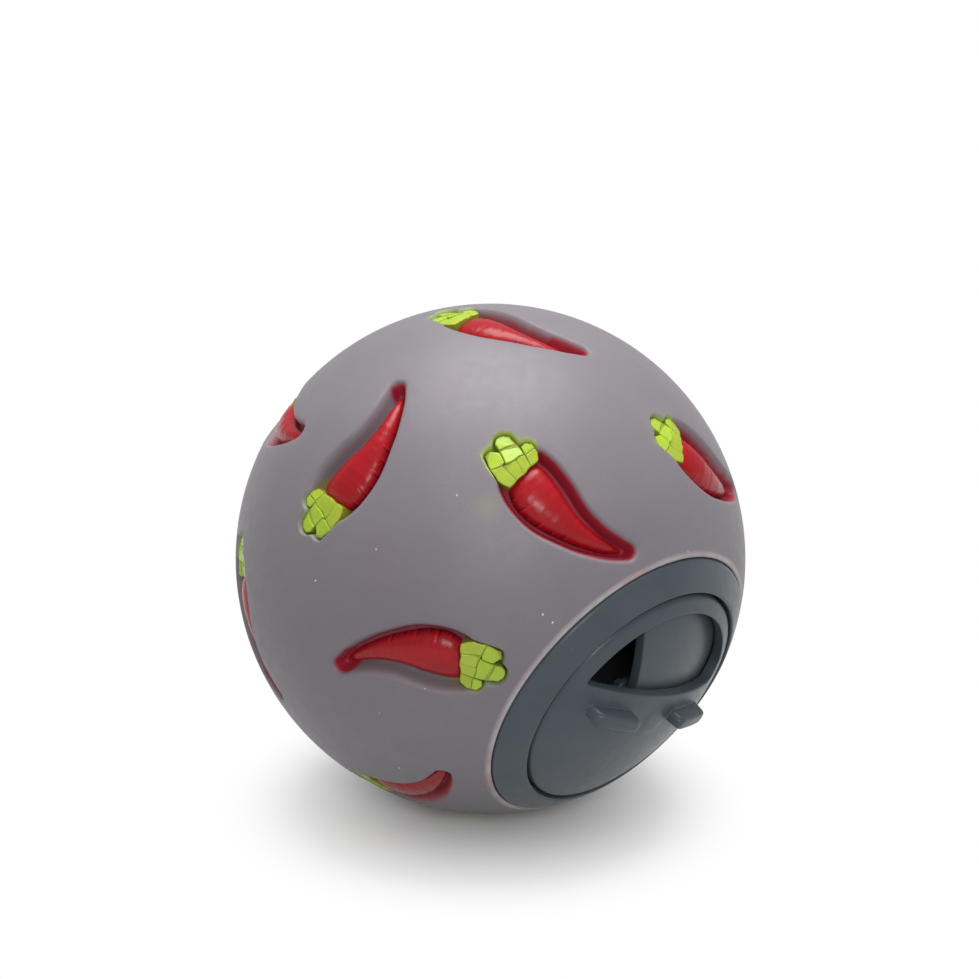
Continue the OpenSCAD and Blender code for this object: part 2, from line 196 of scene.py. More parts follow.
class Finishes(bpy.types.PropertyGroup):
    shell: colour("Shell", "Soft grey rubber", (0.212, 0.192, 0.213))
    # Colour of the painted highlight along the lip
    lip: colour("Lip", "Rubber stretched pale at the lip", (0.50, 0.45, 0.45))
    # Pink tint of the lip's painted highlight
    lip_highlight_pink: colour("Pink lip", "Lip where red paint dust clings", (0.48, 0.26, 0.27))
    slate: colour("Slate", "Moulded plug plastic", (0.060, 0.078, 0.093))
    red: colour("Red", "Red sprayed paint", (0.40, 0.006, 0.012))
    crimson: colour("Crimson", "Red spray on the pockets' walls", (0.36, 0.008, 0.028))
    # Painted shade on the roots, in their nicks and at their feet
    red_painted_shade: colour("Deep red", "Red paint where it pools", (0.10, 0.004, 0.015))
    lime: colour("Lime", "Lime sprayed paint on the outer scales", (0.45, 0.65, 0.042))
    olive: colour("Olive", "Lime paint dulled at the leaves' feet", (0.44, 0.57, 0.042))
    # Painted shade in the seams between the leaves' scales and down their sides
    lime_painted_shade: colour("Deep lime", "Lime paint in the seams", (0.24, 0.25, 0.03))
    mustard: colour("Mustard", "Thin lime spray over grey rubber", (0.27, 0.23, 0.06))
    dust: colour("Dust", "Pale specks", (0.8, 0.8, 0.78))


class StageSettings(bpy.types.PropertyGroup):
    lens: bpy.props.FloatProperty(name="Lens", description="Focal length", default=79.82,
                                  unit="CAMERA")
    sensor: bpy.props.FloatProperty(name="Sensor", description="Sensor width", default=36,
                                    unit="CAMERA")
    azimuth: angle("Azimuth", "Way the camera looks, clockwise from +Y", -42.56)
    elevation: angle("Elevation", "Height of the camera above the horizon", 16.41)
    camera_x: length("Camera X", "Camera's place along X", -192.85, -1)
    camera_y: length("Camera Y", "Camera's place along Y", -209.81, -1)
    camera_z: length("Camera Z", "Camera's place along Z", 93.74, -1)
    floor: colour("Floor", "Pale floor as the camera sees it", (0.92, 0.92, 0.92))
    floor_bounce: colour("Floor bounce", "Pale floor as it lights the ball", (0.36, 0.36, 0.37))
    floor_clear: length("Floor clear", "Radius past which the floor is plain white", 43)
    floor_glow: share("Floor glow", "Share of plain white in the floor under the ball", 0.02)
    sky: share("Sky", "Strength of the even light all round", 0.42)


class TreatBall(bpy.types.PropertyGroup):
    ball: bpy.props.PointerProperty(type=BallSizes, name="Ball")
    carrot: bpy.props.PointerProperty(type=CarrotSizes, name="Carrots")
    plug: bpy.props.PointerProperty(type=PlugSizes, name="Plug")
    finish: bpy.props.PointerProperty(type=Finishes, name="Finishes")
    stage: bpy.props.PointerProperty(type=StageSettings, name="Stage")


def settings():
    return bpy.context.scene.treat_ball


def ball_radius():
    return settings().ball.diameter / 2


def seat_radius():
    """Distance from the ball's centre to the underside of the reliefs."""
    c = settings().carrot
    return ball_radius() - c.pocket_depth + c.seat


def linked(name, data):
    """A new object in the scene."""
    made = bpy.data.objects.new(name, data)
    bpy.context.collection.objects.link(made)
    return made


# Frames and curves

def turn_x(a):
    c, s = math.cos(a), math.sin(a)
    return np.array([[1, 0, 0], [0, c, -s], [0, s, c]])


def turn_y(a):
    c, s = math.cos(a), math.sin(a)
    return np.array([[c, 0, s], [0, 1, 0], [-s, 0, c]])


def turn_z(a):
    c, s = math.cos(a), math.sin(a)
    return np.array([[c, -s, 0], [s, c, 0], [0, 0, 1]])


def plug_frame():
    """Turns +Z onto the plug's axis."""
    return turn_x(math.pi / 2 + settings().ball.plug_tilt)


def place_frame(place):
    """Turns a relief drawn round +Z to its place, within the plug's frame."""
    polar, round_axis, heading = (math.radians(v) for v in place[:3])
    return turn_z(round_axis) @ turn_y(polar) @ turn_z(heading)


def wrap(flat, radius):
    """Lays points of the flat drawing on spheres round the ball's centre."""
    flat = np.atleast_2d(flat)
    reach = np.maximum(np.hypot(*flat.T), TINY)
    bend = reach / ball_radius()
    return np.c_[flat * (np.sin(bend) / reach)[:, None], np.cos(bend)] * np.reshape(radius, (-1, 1))


def from_table(table, at):
    x, y = zip(*table)
    return np.interp(at, x, y)


def smooth_table(table, at):
    """The table's values with its corners rounded off."""
    steps = np.linspace(-TABLE_SOFTNESS, TABLE_SOFTNESS, 7)
    return np.mean([from_table(table, np.clip(np.asarray(at) + s, 0, 1)) for s in steps], axis=0)


class Spine:
    """Middle line of a root, an arc bent about a point on its hollow side."""

    def __init__(self):
        c = settings().carrot
        self.bend = c.root_bend
        self.radius = c.root_length / c.root_bend
        self.rise = math.cos(self.bend / 2)

    def turned_by(self, t):
        """Angle round the arc from its middle to a share of its length."""
        return self.bend * (np.asarray(t, float) - 0.5)

    def at(self, t):
        a = self.turned_by(t)
        return np.stack([self.radius * np.sin(a), self.radius * (self.rise - np.cos(a))], -1)

    def side(self, t):
        """Unit vector towards the hollow side."""
        a = self.turned_by(t)
        return np.stack([-np.sin(a), np.cos(a)], -1)

    def ahead(self, t):
        """Unit vector towards the tip."""
        a = self.turned_by(t)
        return np.stack([np.cos(a), np.sin(a)], -1)


def leaf_scale(spine, drawn):
    """A scale's outline in the flat drawing."""
    c = settings().carrot
    out = -spine.ahead(0)
    across = np.array([-out[1], out[0]])
    outline = []
    for u, v in drawn:
        lean = SHOULDER_LEAN * v * c.leaf_width * max(0.0, 1 - u / LEAN_FADE)
        outline.append(spine.at(0) + out * (u * c.leaf_length - lean) + across * v * c.leaf_width)
    return outline


# Mesh making

class Weave:
    """Collects points and faces of one closed surface."""

    def __init__(self):
        self.points = []
        self.faces = []
        self.marks = {}
        self.count = 0

    def add(self, points, **marks):
        """Adds points and their marks, and gives their numbers."""
        points = np.atleast_2d(points)
        numbers = np.arange(self.count, self.count + len(points))
        self.points.append(points)
        self.count += len(points)
        for name, value in marks.items():
            self.marks.setdefault(name, {})[int(numbers[0])] = np.broadcast_to(value, len(points))
        return numbers

    def band(self, a, b):
        """Closes the strip between two closed rings of equal count."""
        self.faces.extend(np.c_[a, np.roll(a, -1), np.roll(b, -1), b].tolist())

    def bands(self, rings):
        """Closes the strips between each closed ring and the next."""
        for a, b in zip(rings, rings[1:]):
            self.band(a, b)

    def strip(self, a, b):
        """Closes the strip between two open rows of equal count."""
        self.faces.extend(np.c_[a[:-1], a[1:], b[1:], b[:-1]].tolist())

    def face(self, numbers):
        self.faces.append([int(v) for v in numbers])

    def cap(self, ring, height):
        """Closes a ring with a fan to a new point on the axis."""
        tip = self.add([[0, 0, height]])[0]
        for a, b in zip(ring, np.roll(ring, -1)):
            self.face([a, b, tip])

    def fill(self, numbers, triangles):
        self.faces.extend(np.asarray(numbers)[np.asarray(triangles)].tolist())

    def object(self, name, turn=None):
        """Makes the mesh object, with its faces turned outwards."""
        points = np.concatenate(self.points)
        if turn is not None:
            points = points @ turn.T
        mesh = bpy.data.meshes.new(name)
        mesh.from_pydata(points.tolist(), [], self.faces)
        mesh.validate()
        for mark, parts in self.marks.items():
            values = np.zeros(self.count, dtype=np.float32)
            for start, part in parts.items():
                values[start:start + len(part)] = part
            mesh.attributes.new(mark, "FLOAT", "POINT").data.foreach_set("value", values)
        made = linked(name, mesh)
        face_outwards(made)
        mesh.polygons.foreach_set("use_smooth", [True] * len(mesh.polygons))
        return made


def face_outwards(made):
    """Turns every closed surface of a mesh so that its faces look outwards."""
    work = bmesh.new()
    work.from_mesh(made.data)
    bmesh.ops.recalc_face_normals(work, faces=work.faces)
    if work.calc_volume(signed=True) < 0:
        bmesh.ops.reverse_faces(work, faces=work.faces)
    work.to_mesh(made.data)
    work.free()


def within(points, loop):
    """Which points lie inside a closed flat loop."""
    x, y = points[:, 0], points[:, 1]
    inside = np.zeros(len(points), bool)
    ends = np.roll(loop, -1, axis=0)
    for (ax, ay), (bx, by) in zip(loop, ends):
        if ay == by:
            continue
        crosses = (ay > y) != (by > y)
        inside ^= crosses & (x < (bx - ax) * (y - ay) / (by - ay) + ax)
    return inside


def sheet(outer, holes, loose):
    """Triangles over loose flat points, inside the outer loop and outside the holes.

    The numbers run through the outer loop, the holes and the loose points in turn."""
    loops = [outer] + list(holes)
    coords = np.concatenate(loops + [loose])
    edges = []
    start = 0
    for loop in loops:
        n = len(loop)
        edges += [(start + i, start + (i + 1) % n) for i in range(n)]
        start += n
    scale = 1 / np.abs(coords).max()
    join_below = 1e-9
    spots = [Vector(p) for p in (coords * scale).tolist()]
    made = delaunay_2d_cdt(spots, edges, [], 0, join_below)
    back = [o[0] if o else -1 for o in made[3]]
    faces = np.array([[back[i] for i in f] for f in made[2]])
    faces = faces[(faces >= 0).all(axis=1)]
    middle = coords[faces].mean(axis=1)
    keep = within(middle, outer)
    for hole in holes:
        off = np.abs(middle - hole.mean(axis=0)).max(axis=1)
        near = np.flatnonzero(keep & (off < np.ptp(hole, axis=0).max()))
        keep[near[within(middle[near], hole)]] = False
    return faces[keep]


def hex_points(low, high, step):
    """Points of an even three-way grid over a flat box."""
    rows = []
    for i, y in enumerate(np.arange(low[1], high[1], step * math.sqrt(3) / 2)):
        x = np.arange(low[0] + (i % 2) * step / 2, high[0], step)
        rows.append(np.c_[x, np.full(len(x), y)])
    return np.concatenate(rows)


def away_from(points, loop, least):
    """The points that lie at least that far from a loop's own points."""
    gap = np.full(len(points), np.inf)
    for p in loop:
        gap = np.minimum(gap, np.hypot(*(points - p).T))
    return points[gap > least]


def loose_points(loops, step, least):
    """Even flat points inside the first loop and outside the others, clear of all of them."""
    outer = loops[0]
    loose = hex_points(outer.min(axis=0), outer.max(axis=0), step)
    loose = loose[within(loose, outer)]
    for hole in loops[1:]:
        loose = loose[~within(loose, hole)]
    for loop in loops:
        loose = away_from(loose, loop, least)
    return loose


def even_loop(loop, count):
    """The loop with count points at even steps."""
    closed = np.vstack([loop, loop[:1]])
    run = np.r_[0, np.cumsum(np.hypot(*np.diff(closed, axis=0).T))]
    at = np.linspace(0, run[-1], count, endpoint=False)
    return np.c_[np.interp(at, run, closed[:, 0]), np.interp(at, run, closed[:, 1])]


def loop_normals(loop):
    """Unit vectors to the right of the way round: outwards on a loop run anticlockwise."""
    way = np.roll(loop, -1, axis=0) - np.roll(loop, 1, axis=0)
    way /= np.maximum(np.hypot(*way.T)[:, None], TINY)
    return np.c_[way[:, 1], -way[:, 0]]


def circle(radius, count):
    a = np.linspace(0, 2 * math.pi, count, endpoint=False)
    return np.c_[np.cos(a), np.sin(a)] * radius


def half_moon(radius, sill, right, left, count, corner_steps=14, arc_steps=120):
    """Loop of a half-moon, its round side up, with a rounding for each of its two corners."""
    ends = []
    for corner in (right, left):
        low = sill + corner
        reach = math.sqrt((radius - corner) ** 2 - low * low)
        lean = math.atan2(low, reach)
        bend = np.linspace(-math.pi / 2, lean, corner_steps)
        ends.append((lean, [reach, low] + corner * np.c_[np.cos(bend), np.sin(bend)]))
    arc = np.linspace(ends[0][0], math.pi - ends[1][0], arc_steps)[1:-1]
    round_side = radius * np.c_[np.cos(arc), np.sin(arc)]
    return even_loop(np.vstack([ends[0][1], round_side, ends[1][1][::-1] * [-1, 1]]), count)


def bar(length_, width, count, end_steps=20):
    """Loop of a round-ended bar along X."""
    reach = (length_ - width) / 2
    a = np.linspace(-math.pi / 2, math.pi / 2, end_steps)
    right = np.c_[np.cos(a), np.sin(a)] * width / 2 + [reach, 0]
    return even_loop(np.vstack([right, -right]), count)


def dome(radius, flat, rise=0.0):
    """Flat points lifted onto a dome round the ball's centre, or a little off it."""
    height = np.sqrt(np.maximum(radius * radius - (flat ** 2).sum(axis=1), 0))
    return np.c_[flat, height + rise]


def level_ring(radius, height, count):
    """Points of a level circle round the axis."""
    return np.c_[circle(radius, count), np.full(count, height)]


def turned(weave, profile, count, closed=True):
    """Turns a profile of radius and height pairs round the axis."""
    rings = [weave.add(level_ring(r, z, count)) for r, z in profile]
    weave.bands(rings)
    if closed:
        weave.band(rings[-1], rings[0])
    return rings


def rounded(profile, corners, steps=5, longest=2.5):
    """The profile with the numbered corners rounded to the given radius.

    At a blunt corner the rounding starts no more than the longest times its radius away."""
    n = len(profile)
    out = []
    for i, p in enumerate(profile):
        r = corners.get(i)
        if not r:
            out.append(tuple(p))
            continue
        p = np.array(p, float)
        a = np.array(profile[i - 1], float) - p
        b = np.array(profile[(i + 1) % n], float) - p
        a /= np.hypot(*a)
        b /= np.hypot(*b)
        half = math.acos(max(-1, min(1, float(a @ b)))) / 2
        cut = min(r / math.tan(half), r * longest)
        start, end = p + a * cut, p + b * cut
        for k in range(steps + 1):
            t = k / steps
            out.append(tuple((1 - t) ** 2 * start + 2 * t * (1 - t) * p + t * t * end))
    return out


def sides(outline):
    """The sides of a flat outline, each as its two ends."""
    return zip(outline, outline[1:] + outline[:1])


# The pockets' outline

# How many discs draw a root's rim, over what width leaves turn into root and a root's
# hollow side into its bulging one, and the furthest distance from the leaves that is kept
RIM_DISCS = 72
LEAFY_BLEND = 0.8 * MM
HOLLOW_BLEND = 1.5 * MM
LEAF_FAR = 9 * MM


class PocketField:
    """Signed distance to the rim of a carrot's pocket in the flat drawing, below zero inside."""

    # The grid's spacing and corners, the step along the rim, the most steps round it, and
    # the least squared slope that a move is divided by
    STEP = 0.1 * MM
    LOW = np.array([-18.5, -9.0]) * MM
    HIGH = np.array([13.5, 9.0]) * MM
    WALK = 0.08 * MM
    LONGEST_WALK = 4000
    LEAST_SLOPE = 0.2

    def __init__(self):
        self.spine = Spine()
        axes = [np.arange(low, high, self.STEP) for low, high in zip(self.LOW, self.HIGH)]
        at = np.stack(np.meshgrid(*axes, indexing="ij"), -1)
        root, top = self.root_gap(at), self.top_gap(at)
        self.values = self.softened(np.minimum(root, top))
        self.leafy = self.softened(np.clip((root - top) / LEAFY_BLEND + 0.5, 0, 1))
        self.leaf_gap = self.softened(np.clip(top, 0, LEAF_FAR))
        self.dx, self.dy = np.gradient(self.values, self.STEP)

    def root_gap(self, at):
        """Distance to the root's part of the rim."""
        c = settings().carrot
        gap = np.full(at.shape[:-1], np.inf)
        for t in np.linspace(0, RIM_SHARES[-1][0], RIM_DISCS):
            half = (c.root_width / 2 * smooth_table(WIDTH_SHARES, t)
                    + c.root_rim * from_table(RIM_SHARES, t))
            for shift in (0, from_table(HOLLOW_SPACE, t) * MM):
                middle = self.spine.at(t) + self.spine.side(t) * shift
                gap = np.minimum(gap, np.hypot(*np.moveaxis(at - middle, -1, 0)) - half)
        return gap

    def top_gap(self, at):
        """Distance to the leaves' part of the rim, which is wider past their ends."""
        c = settings().carrot
        gap = np.full(at.shape[:-1], np.inf)
        for drawn in FOOT_SCALES + OUTER_SCALES:
            over = np.full(at.shape[:-1], -np.inf)
            for a, b in sides(leaf_scale(self.spine, drawn)):
                way = (b - a) / np.hypot(*(b - a))
                over = np.maximum(over, (at - a) @ np.array([way[1], -way[0]]))
            gap = np.minimum(gap, over)
        # The wider space comes in from 35% to 85% of the leaves' length
        out = (at - self.spine.at(0)) @ -self.spine.ahead(0) / c.leaf_length
        return gap - c.leaf_rim - (c.leaf_end_rim - c.leaf_rim) * np.clip(out * 2 - 0.7, 0, 1)

    def softened(self, grid, reach=3):
        """The grid with its creases smoothed over about reach steps."""
        weights = np.exp(-0.5 * (np.arange(-2 * reach, 2 * reach + 1) / reach) ** 2)
        weights /= weights.sum()
        for axis in (0, 1):
            pads = [(2 * reach, 2 * reach) if k == axis else (0, 0) for k in (0, 1)]
            padded = np.pad(grid, pads, mode="edge")
            grid = np.apply_along_axis(np.convolve, axis, padded, weights, "valid")
        return grid

    def read(self, grid, flat):
        """The grid's values at flat points, between its own points in proportion."""
        at = (np.atleast_2d(flat) - self.LOW) / self.STEP
        # A hair short of the last point, so that there is always a next one
        at = np.clip(at, 0, np.array(grid.shape) - 1.001)
        i = at.astype(int)
        f = at - i
        i, j = i.T
        fx, fy = f.T
        return (grid[i, j] * (1 - fx) * (1 - fy) + grid[i + 1, j] * fx * (1 - fy)
                + grid[i, j + 1] * (1 - fx) * fy + grid[i + 1, j + 1] * fx * fy)

    def hollow(self, flat):
        """1 on a root's hollow side and 0 on its bulging side."""
        middle = np.array([0, self.spine.radius * self.spine.rise])
        inward = self.spine.radius - np.hypot(*(flat - middle).T)
        return np.clip(inward / HOLLOW_BLEND + 0.5, 0, 1)

    def slope(self, flat):
        return np.c_[self.read(self.dx, flat), self.read(self.dy, flat)]

    def settle(self, flat, level, rounds=4):
        """Moves points along the slope until they lie on that level."""
        for _ in range(rounds):
            g = self.slope(flat)
            steep = np.maximum((g ** 2).sum(axis=1), self.LEAST_SLOPE)
            flat = flat + g * ((level - self.read(self.values, flat)) / steep)[:, None]
        return flat

    def rim(self, count):
        """The zero level as one loop of even steps, run anticlockwise."""
        # From a point beside the root, along the rim until it has come round
        p = self.settle(np.array([[0.0, 4 * MM]]), 0.0, 30)[0]
        first, loop = p, [p]
        while len(loop) < self.LONGEST_WALK:
            g = self.slope(p)[0]
            way = np.array([-g[1], g[0]]) / max(np.hypot(*g), 1e-9)
            p = self.settle(np.array([p + way * self.WALK]), 0.0, 2)[0]
            if len(loop) > 20 and np.hypot(*(p - first)) < self.WALK:
                break
            loop.append(p)
        return self.settle(even_loop(np.array(loop), count), 0.0)

    def rings(self, start, levels):
        """The start loop carried along the slope to each level in turn."""
        out = []
        flat, now = start, 0.0
        for level in levels:
            parts = max(1, int(abs(level - now) / self.STEP))
            for k in range(1, parts + 1):
                flat = self.settle(flat, now + (level - now) * k / parts, 2)
            for _ in range(3):
                evened = flat * 0.5 + (np.roll(flat, 1, axis=0) + np.roll(flat, -1, axis=0)) * 0.25
                flat = self.settle(evened, level, 2)
            now = level
            out.append(flat)
        return out


# Distance out from the rim's line and depth below the ball, both in shares of the
# pocket's depth, from the floor over the rounded rim to the ball's surface
RIM = [(-0.24, 1), (-0.18, 0.985), (-0.125, 0.92), (-0.085, 0.8), (-0.05, 0.66), (-0.015, 0.5),
       (0, 0.42), (0.03, 0.33), (0.085, 0.2), (0.15, 0.1), (0.23, 0.02), (0.33, 0)]
# How many times sharper the rim is round the leaves, points round a pocket, and the
# spacing of the points on its floor
LEAF_SHARPNESS = 4
RIM_COUNT = 184
FLOOR_STEP = 0.7 * MM
# How far the spray fades: along the root behind a bare tip, down the wall, up over the
# rim, off the leaves' paint and round the pocket
TIP_FADE = 1.6 * MM
LOW_FADE = 0.6 * MM
RIM_FADE = 0.5 * MM
LIME_DRIFT = 3.4 * MM
HALO_REACH = 1.0 * MM


class Pocket:
    """One pocket in the flat drawing: its rings, its floor and the paint that reaches them."""

    def __init__(self):
        self.depth = settings().carrot.pocket_depth
        self.field = PocketField()
        start = self.field.rim(RIM_COUNT)
        self.levels = [s * self.depth for s, _ in RIM[::-1]]
        out = self.field.rings(start, [v for v in self.levels[::-1] if v > 0])
        into = self.field.rings(start, [v for v in self.levels if v < 0])
        self.rings = out[::-1] + [start] + into
        floor = self.rings[-1]
        self.loose = loose_points([floor], FLOOR_STEP, FLOOR_STEP / 2)
        self.floor = sheet(floor, [], self.loose)

    def sink(self, flat, level):
        """How deep points lie on a level. The rim is sharper round the leaves."""
        leafy = self.field.read(self.field.leafy, flat)
        soft = from_table(RIM, level / self.depth)
        sharp = from_table(RIM, level * LEAF_SHARPNESS / self.depth)
        return self.depth * (soft + (sharp - soft) * leafy)

    def paint(self, flat, level, cover):
        """Marks of points on a level: how red and how lime the spray leaves them.

        The cover is the share of the hollow side's wall that is red."""
        leafy = self.field.read(self.field.leafy, flat)
        hollow = self.field.hollow(flat)
        gap = self.field.read(self.field.leaf_gap, flat)
        tip = np.clip((flat[:, 0] - (7 - 6 * cover) * MM) / TIP_FADE, 0, 1)
        low = np.clip(-level / LOW_FADE, 0, 1)
        reach = np.maximum(cover + (1 - cover) * 0.45 * (1 - hollow),
                           np.maximum(tip, 0.45 * low * (1 - 0.6 * hollow)))
        inside = np.clip(0.4 + 0.5 * np.maximum(tip, cover ** 2) - level / RIM_FADE, 0, 1)
        spray = np.clip(1 - gap / LIME_DRIFT, 0, 1) * (1 - cover) * hollow
        halo = np.clip(1 - level / HALO_REACH, 0, 1) * (0.25 + 0.5 * cover)
        return {"red": inside * (1 - leafy) * reach,
                "lime": np.clip(inside + 0.15, 0, 1) * np.maximum(leafy, 1.5 * spray),
                "halo": np.full(len(flat), halo), "leafy": leafy}


# The lip: points round it, where it starts outside the mouth in shares of its rounding,
# and the even rings round it, each that much further out
LIP_COUNT = 240
LIP_REACH = 1.75
GUARD_SHARES = (0, 0.3, 0.6, 1)
# The cavity's rings, as angles from the plug's axis: gaps at the neck and at the bottom,
# and the step between them
CAVITY_START, CAVITY_END, CAVITY_STEP = 0.03, 0.05, 0.075
# Spacing of the points between the pockets, how far they stay off a ring, the area of
# their cells as a share of the spacing's square, and the angle that a pocket stays within
SHELL_STEP = 1.25 * MM
SHELL_CLEAR = 0.5 * MM
CELL_SHARE = 0.866
POCKET_SPAN = 0.5


def lip_rings(weave, start):
    """The lip, the counterbore, the neck hole and the cavity, from the outer surface inwards."""
    b = settings().ball
    cavity = ball_radius() - b.wall
    mouth, hole = b.mouth / 2, b.neck_hole / 2
    edge = math.sqrt(ball_radius() ** 2 - mouth ** 2)
    inner = math.sqrt(cavity ** 2 - hole ** 2)
    lip = rounded([start, (mouth, edge), (mouth, b.shelf)], {1: b.lip_round}, steps=6)[1:-1]
    profile = lip + [(mouth, (edge + b.shelf) / 2), (mouth, b.shelf), (hole, b.shelf),
                     (hole, inner + 0.5 * MM), (hole + 0.12 * MM, inner + 0.1 * MM)]
    polar = np.arange(math.asin(hole / cavity) + CAVITY_START, math.pi - CAVITY_END, CAVITY_STEP)
    profile += [(cavity * math.sin(p), cavity * math.cos(p)) for p in polar]
    rings = turned(weave, profile, LIP_COUNT, closed=False)
    weave.cap(rings[-1], -cavity)
    return rings[0]


def ball_points(step):
    """Even points all over the ball."""
    ball = ball_radius()
    count = int(4 * math.pi * ball * ball / (step * step * CELL_SHARE))
    k = np.arange(count) + 0.5
    z = 1 - 2 * k / count
    a = math.pi * (1 + math.sqrt(5)) * k
    r = np.sqrt(1 - z * z)
    return np.c_[r * np.cos(a), r * np.sin(a), z] * ball


def spread(points):
    """Spreads the ball out flat from the plug's axis, so that the mouth is the outer edge."""
    return points[:, :2] / (1 - points[:, 2:3])


def add_pocket(weave, pocket, place):
    """Adds one pocket to the shell. Gives its outermost ring's numbers and points."""
    turn, cover = place_frame(place), place[3]
    rings = []
    for flat, level in zip(pocket.rings, pocket.levels):
        reach = ball_radius() - pocket.sink(flat, level)
        rings.append(weave.add(wrap(flat, reach) @ turn.T, **pocket.paint(flat, level, cover)))
    weave.bands(rings)
    inner = weave.add(wrap(pocket.loose, ball_radius() - pocket.depth) @ turn.T,
                      **pocket.paint(pocket.loose, pocket.levels[-1], cover))
    weave.fill(np.r_[rings[-1], inner], pocket.floor)
    return rings[0], wrap(pocket.rings[0], ball_radius()) @ turn.T


def clear_of(loose, pocket, place):
    """The points on the ball that lie outside one pocket."""
    ball, turn = ball_radius(), place_frame(place)
    near = np.flatnonzero(loose @ turn[:, 2] > ball * math.cos(POCKET_SPAN))
    local = loose[near] @ turn
    bend = np.arccos(np.clip(local[:, 2] / ball, -1, 1))
    reach = np.maximum(np.hypot(local[:, 0], local[:, 1]), TINY)
    flat = local[:, :2] * (bend * ball / reach)[:, None]
    in_field = (flat > PocketField.LOW).all(axis=1) & (flat < PocketField.HIGH).all(axis=1)
    gap = pocket.field.read(pocket.field.values, flat)
    return np.delete(loose, near[in_field & (gap < pocket.levels[0] + SHELL_CLEAR)], axis=0)


def make_shell():
    b = settings().ball
    ball = ball_radius()
    pocket = Pocket()
    weave = Weave()
    start = b.mouth / 2 + b.lip_round * LIP_REACH
    guards = []
    for out in GUARD_SHARES:
        reach = start + b.lip_round * out
        height = math.sqrt(ball ** 2 - reach ** 2)
        guards.append(weave.add(level_ring(reach, height, LIP_COUNT)))
    weave.bands(guards)
    numbers, points = [guards[-1]], [level_ring(reach, height, LIP_COUNT)]
    loose = ball_points(SHELL_STEP)
    loose = loose[loose[:, 2] < height]
    off_axis = np.hypot(loose[:, 0], loose[:, 1]) + (loose[:, 2] < 0) * ball
    loose = loose[off_axis > reach + SHELL_CLEAR]
    for place in PLACES:
        ring, at = add_pocket(weave, pocket, place)
        numbers.append(ring)
        points.append(at)
        loose = clear_of(loose, pocket, place)
    numbers.append(weave.add(loose))
    loops = [spread(p / np.linalg.norm(p, axis=1)[:, None]) for p in points]
    weave.fill(np.concatenate(numbers), sheet(loops[0], loops[1:], spread(loose / ball)))
    weave.band(guards[0], lip_rings(weave, (start, math.sqrt(ball ** 2 - start ** 2))))
    return weave.object("soft_shell", plug_frame())


# Carrots

# Nicks in a root's flanks: share of its length, side (1 hollow, -1 bulging), how far in
# they reach as a share of the way over the arch, and slant
NICKS = [(0.06, -1, 0.22, -0.4), (0.12, 1, 0.12, 0.5), (0.17, -1, 0.38, -0.5),
         (0.25, -1, 0.16, -0.3), (0.29, 1, 0.18, 0.6), (0.33, -1, 0.30, -0.4),
         (0.43, -1, 0.20, -0.5), (0.47, 1, 0.12, 0.4), (0.52, -1, 0.32, -0.4),
         (0.66, -1, 0.18, -0.3), (0.70, 1, 0.14, 0.3), (0.79, -1, 0.22, -0.3)]
# Depth of the nicks and height of their raised edges, and how far a slanted nick drifts
# along the root
NICK_DEPTH = 0.17 * MM
NICK_EDGE = 0.04 * MM
NICK_DRIFT = 3.2 * MM


def nicks_at(t, k, length_):
    """How deep the wedge-shaped nicks and how high their raised edges are, as shares.

    They are read at share t of the length, over the arch's shares k."""
    cut, edge = np.zeros(len(k)), np.zeros(len(k))
    for at, way, reach, slant in NICKS:
        foot = k if way > 0 else 1 - k
        gap = (t - at) * length_ + slant * foot * NICK_DRIFT
        left = np.clip(1 - foot / reach, 0, 1)
        half = (0.05 + 0.2 * left) * MM
        sunk = np.clip(left * 4, 0, 1) * np.clip(foot / 0.04, 0, 1)
        cut += np.clip(1 - np.abs(gap) / half, 0, 1) * sunk
        edge += np.exp(-((gap - half - 0.1 * MM) / (0.12 * MM)) ** 2) * sunk
    return cut, edge


def make_root_form():
    """One root, drawn round +Z at the ball's centre."""
    c = settings().carrot
    spine = Spine()
    weave = Weave()
    # Shares of the length, closer at both ends, and of the way over the arch
    parts = (np.linspace(0, 0.04, 6), np.linspace(0.05, 0.93, 104), np.linspace(0.94, 1, 8))
    k = np.linspace(0, 1, 39)
    rise, way = np.sin(math.pi * k), np.cos(math.pi * k)
    rows = []
    for t in np.concatenate(parts):
        shoulder = min(1.0, math.sqrt(max(0.0, (t + 0.012) / 0.07)))
        tip = math.sqrt(max(0.0, min(1.0, (1.012 - t) / 0.1)))
        half = c.root_width / 2 * float(smooth_table(WIDTH_SHARES, t)) * (0.6 + 0.4 * tip)
        high = (c.root_height * float(smooth_table(HEIGHT_SHARES, t))
                * (0.7 + 0.3 * shoulder) * (0.5 + 0.5 * tip))
        cut, edge = nicks_at(t, k, c.root_length)
        swell = 0.012 * MM * math.sin(t * 47) + 0.008 * MM * math.sin(t * 91 + 1)
        lift = edge * NICK_EDGE - cut * NICK_DEPTH + swell * rise
        y = (half + lift) * np.sign(way) * np.abs(way) ** 0.85
        ridge = np.clip(1.02 - np.sqrt((2 * k - 0.9) ** 2 + 0.02), 0, 1)
        z = (high + lift) * (0.78 * rise ** 0.8 + 0.22 * ridge * np.clip(rise * 3, 0, 1))
        lean = SHOULDER_LEAN * max(0.0, 1 - t / 0.25) * y[:, None]
        flat = spine.at(t) + spine.side(t) * y[:, None] - spine.ahead(t) * lean
        # Marks of the root: painted shade in the nicks and at its foot, and a painted highlight on
        # the nicks' raised edges
        foot = np.clip(1 - rise * 2.2, 0, 1)
        rows.append(weave.add(wrap(flat, seat_radius() + z), deep=np.clip(cut * 0.8 + foot, 0, 1),
                              worn=np.clip(edge - cut, 0, 1)))
    for p, q in zip(rows, rows[1:]):
        weave.strip(p, q)
    for p, q in zip(rows, rows[1:]):
        weave.face([p[0], q[0], q[-1], p[-1]])
    weave.face(rows[0])
    weave.face(rows[-1])
    return weave.object("root_form")


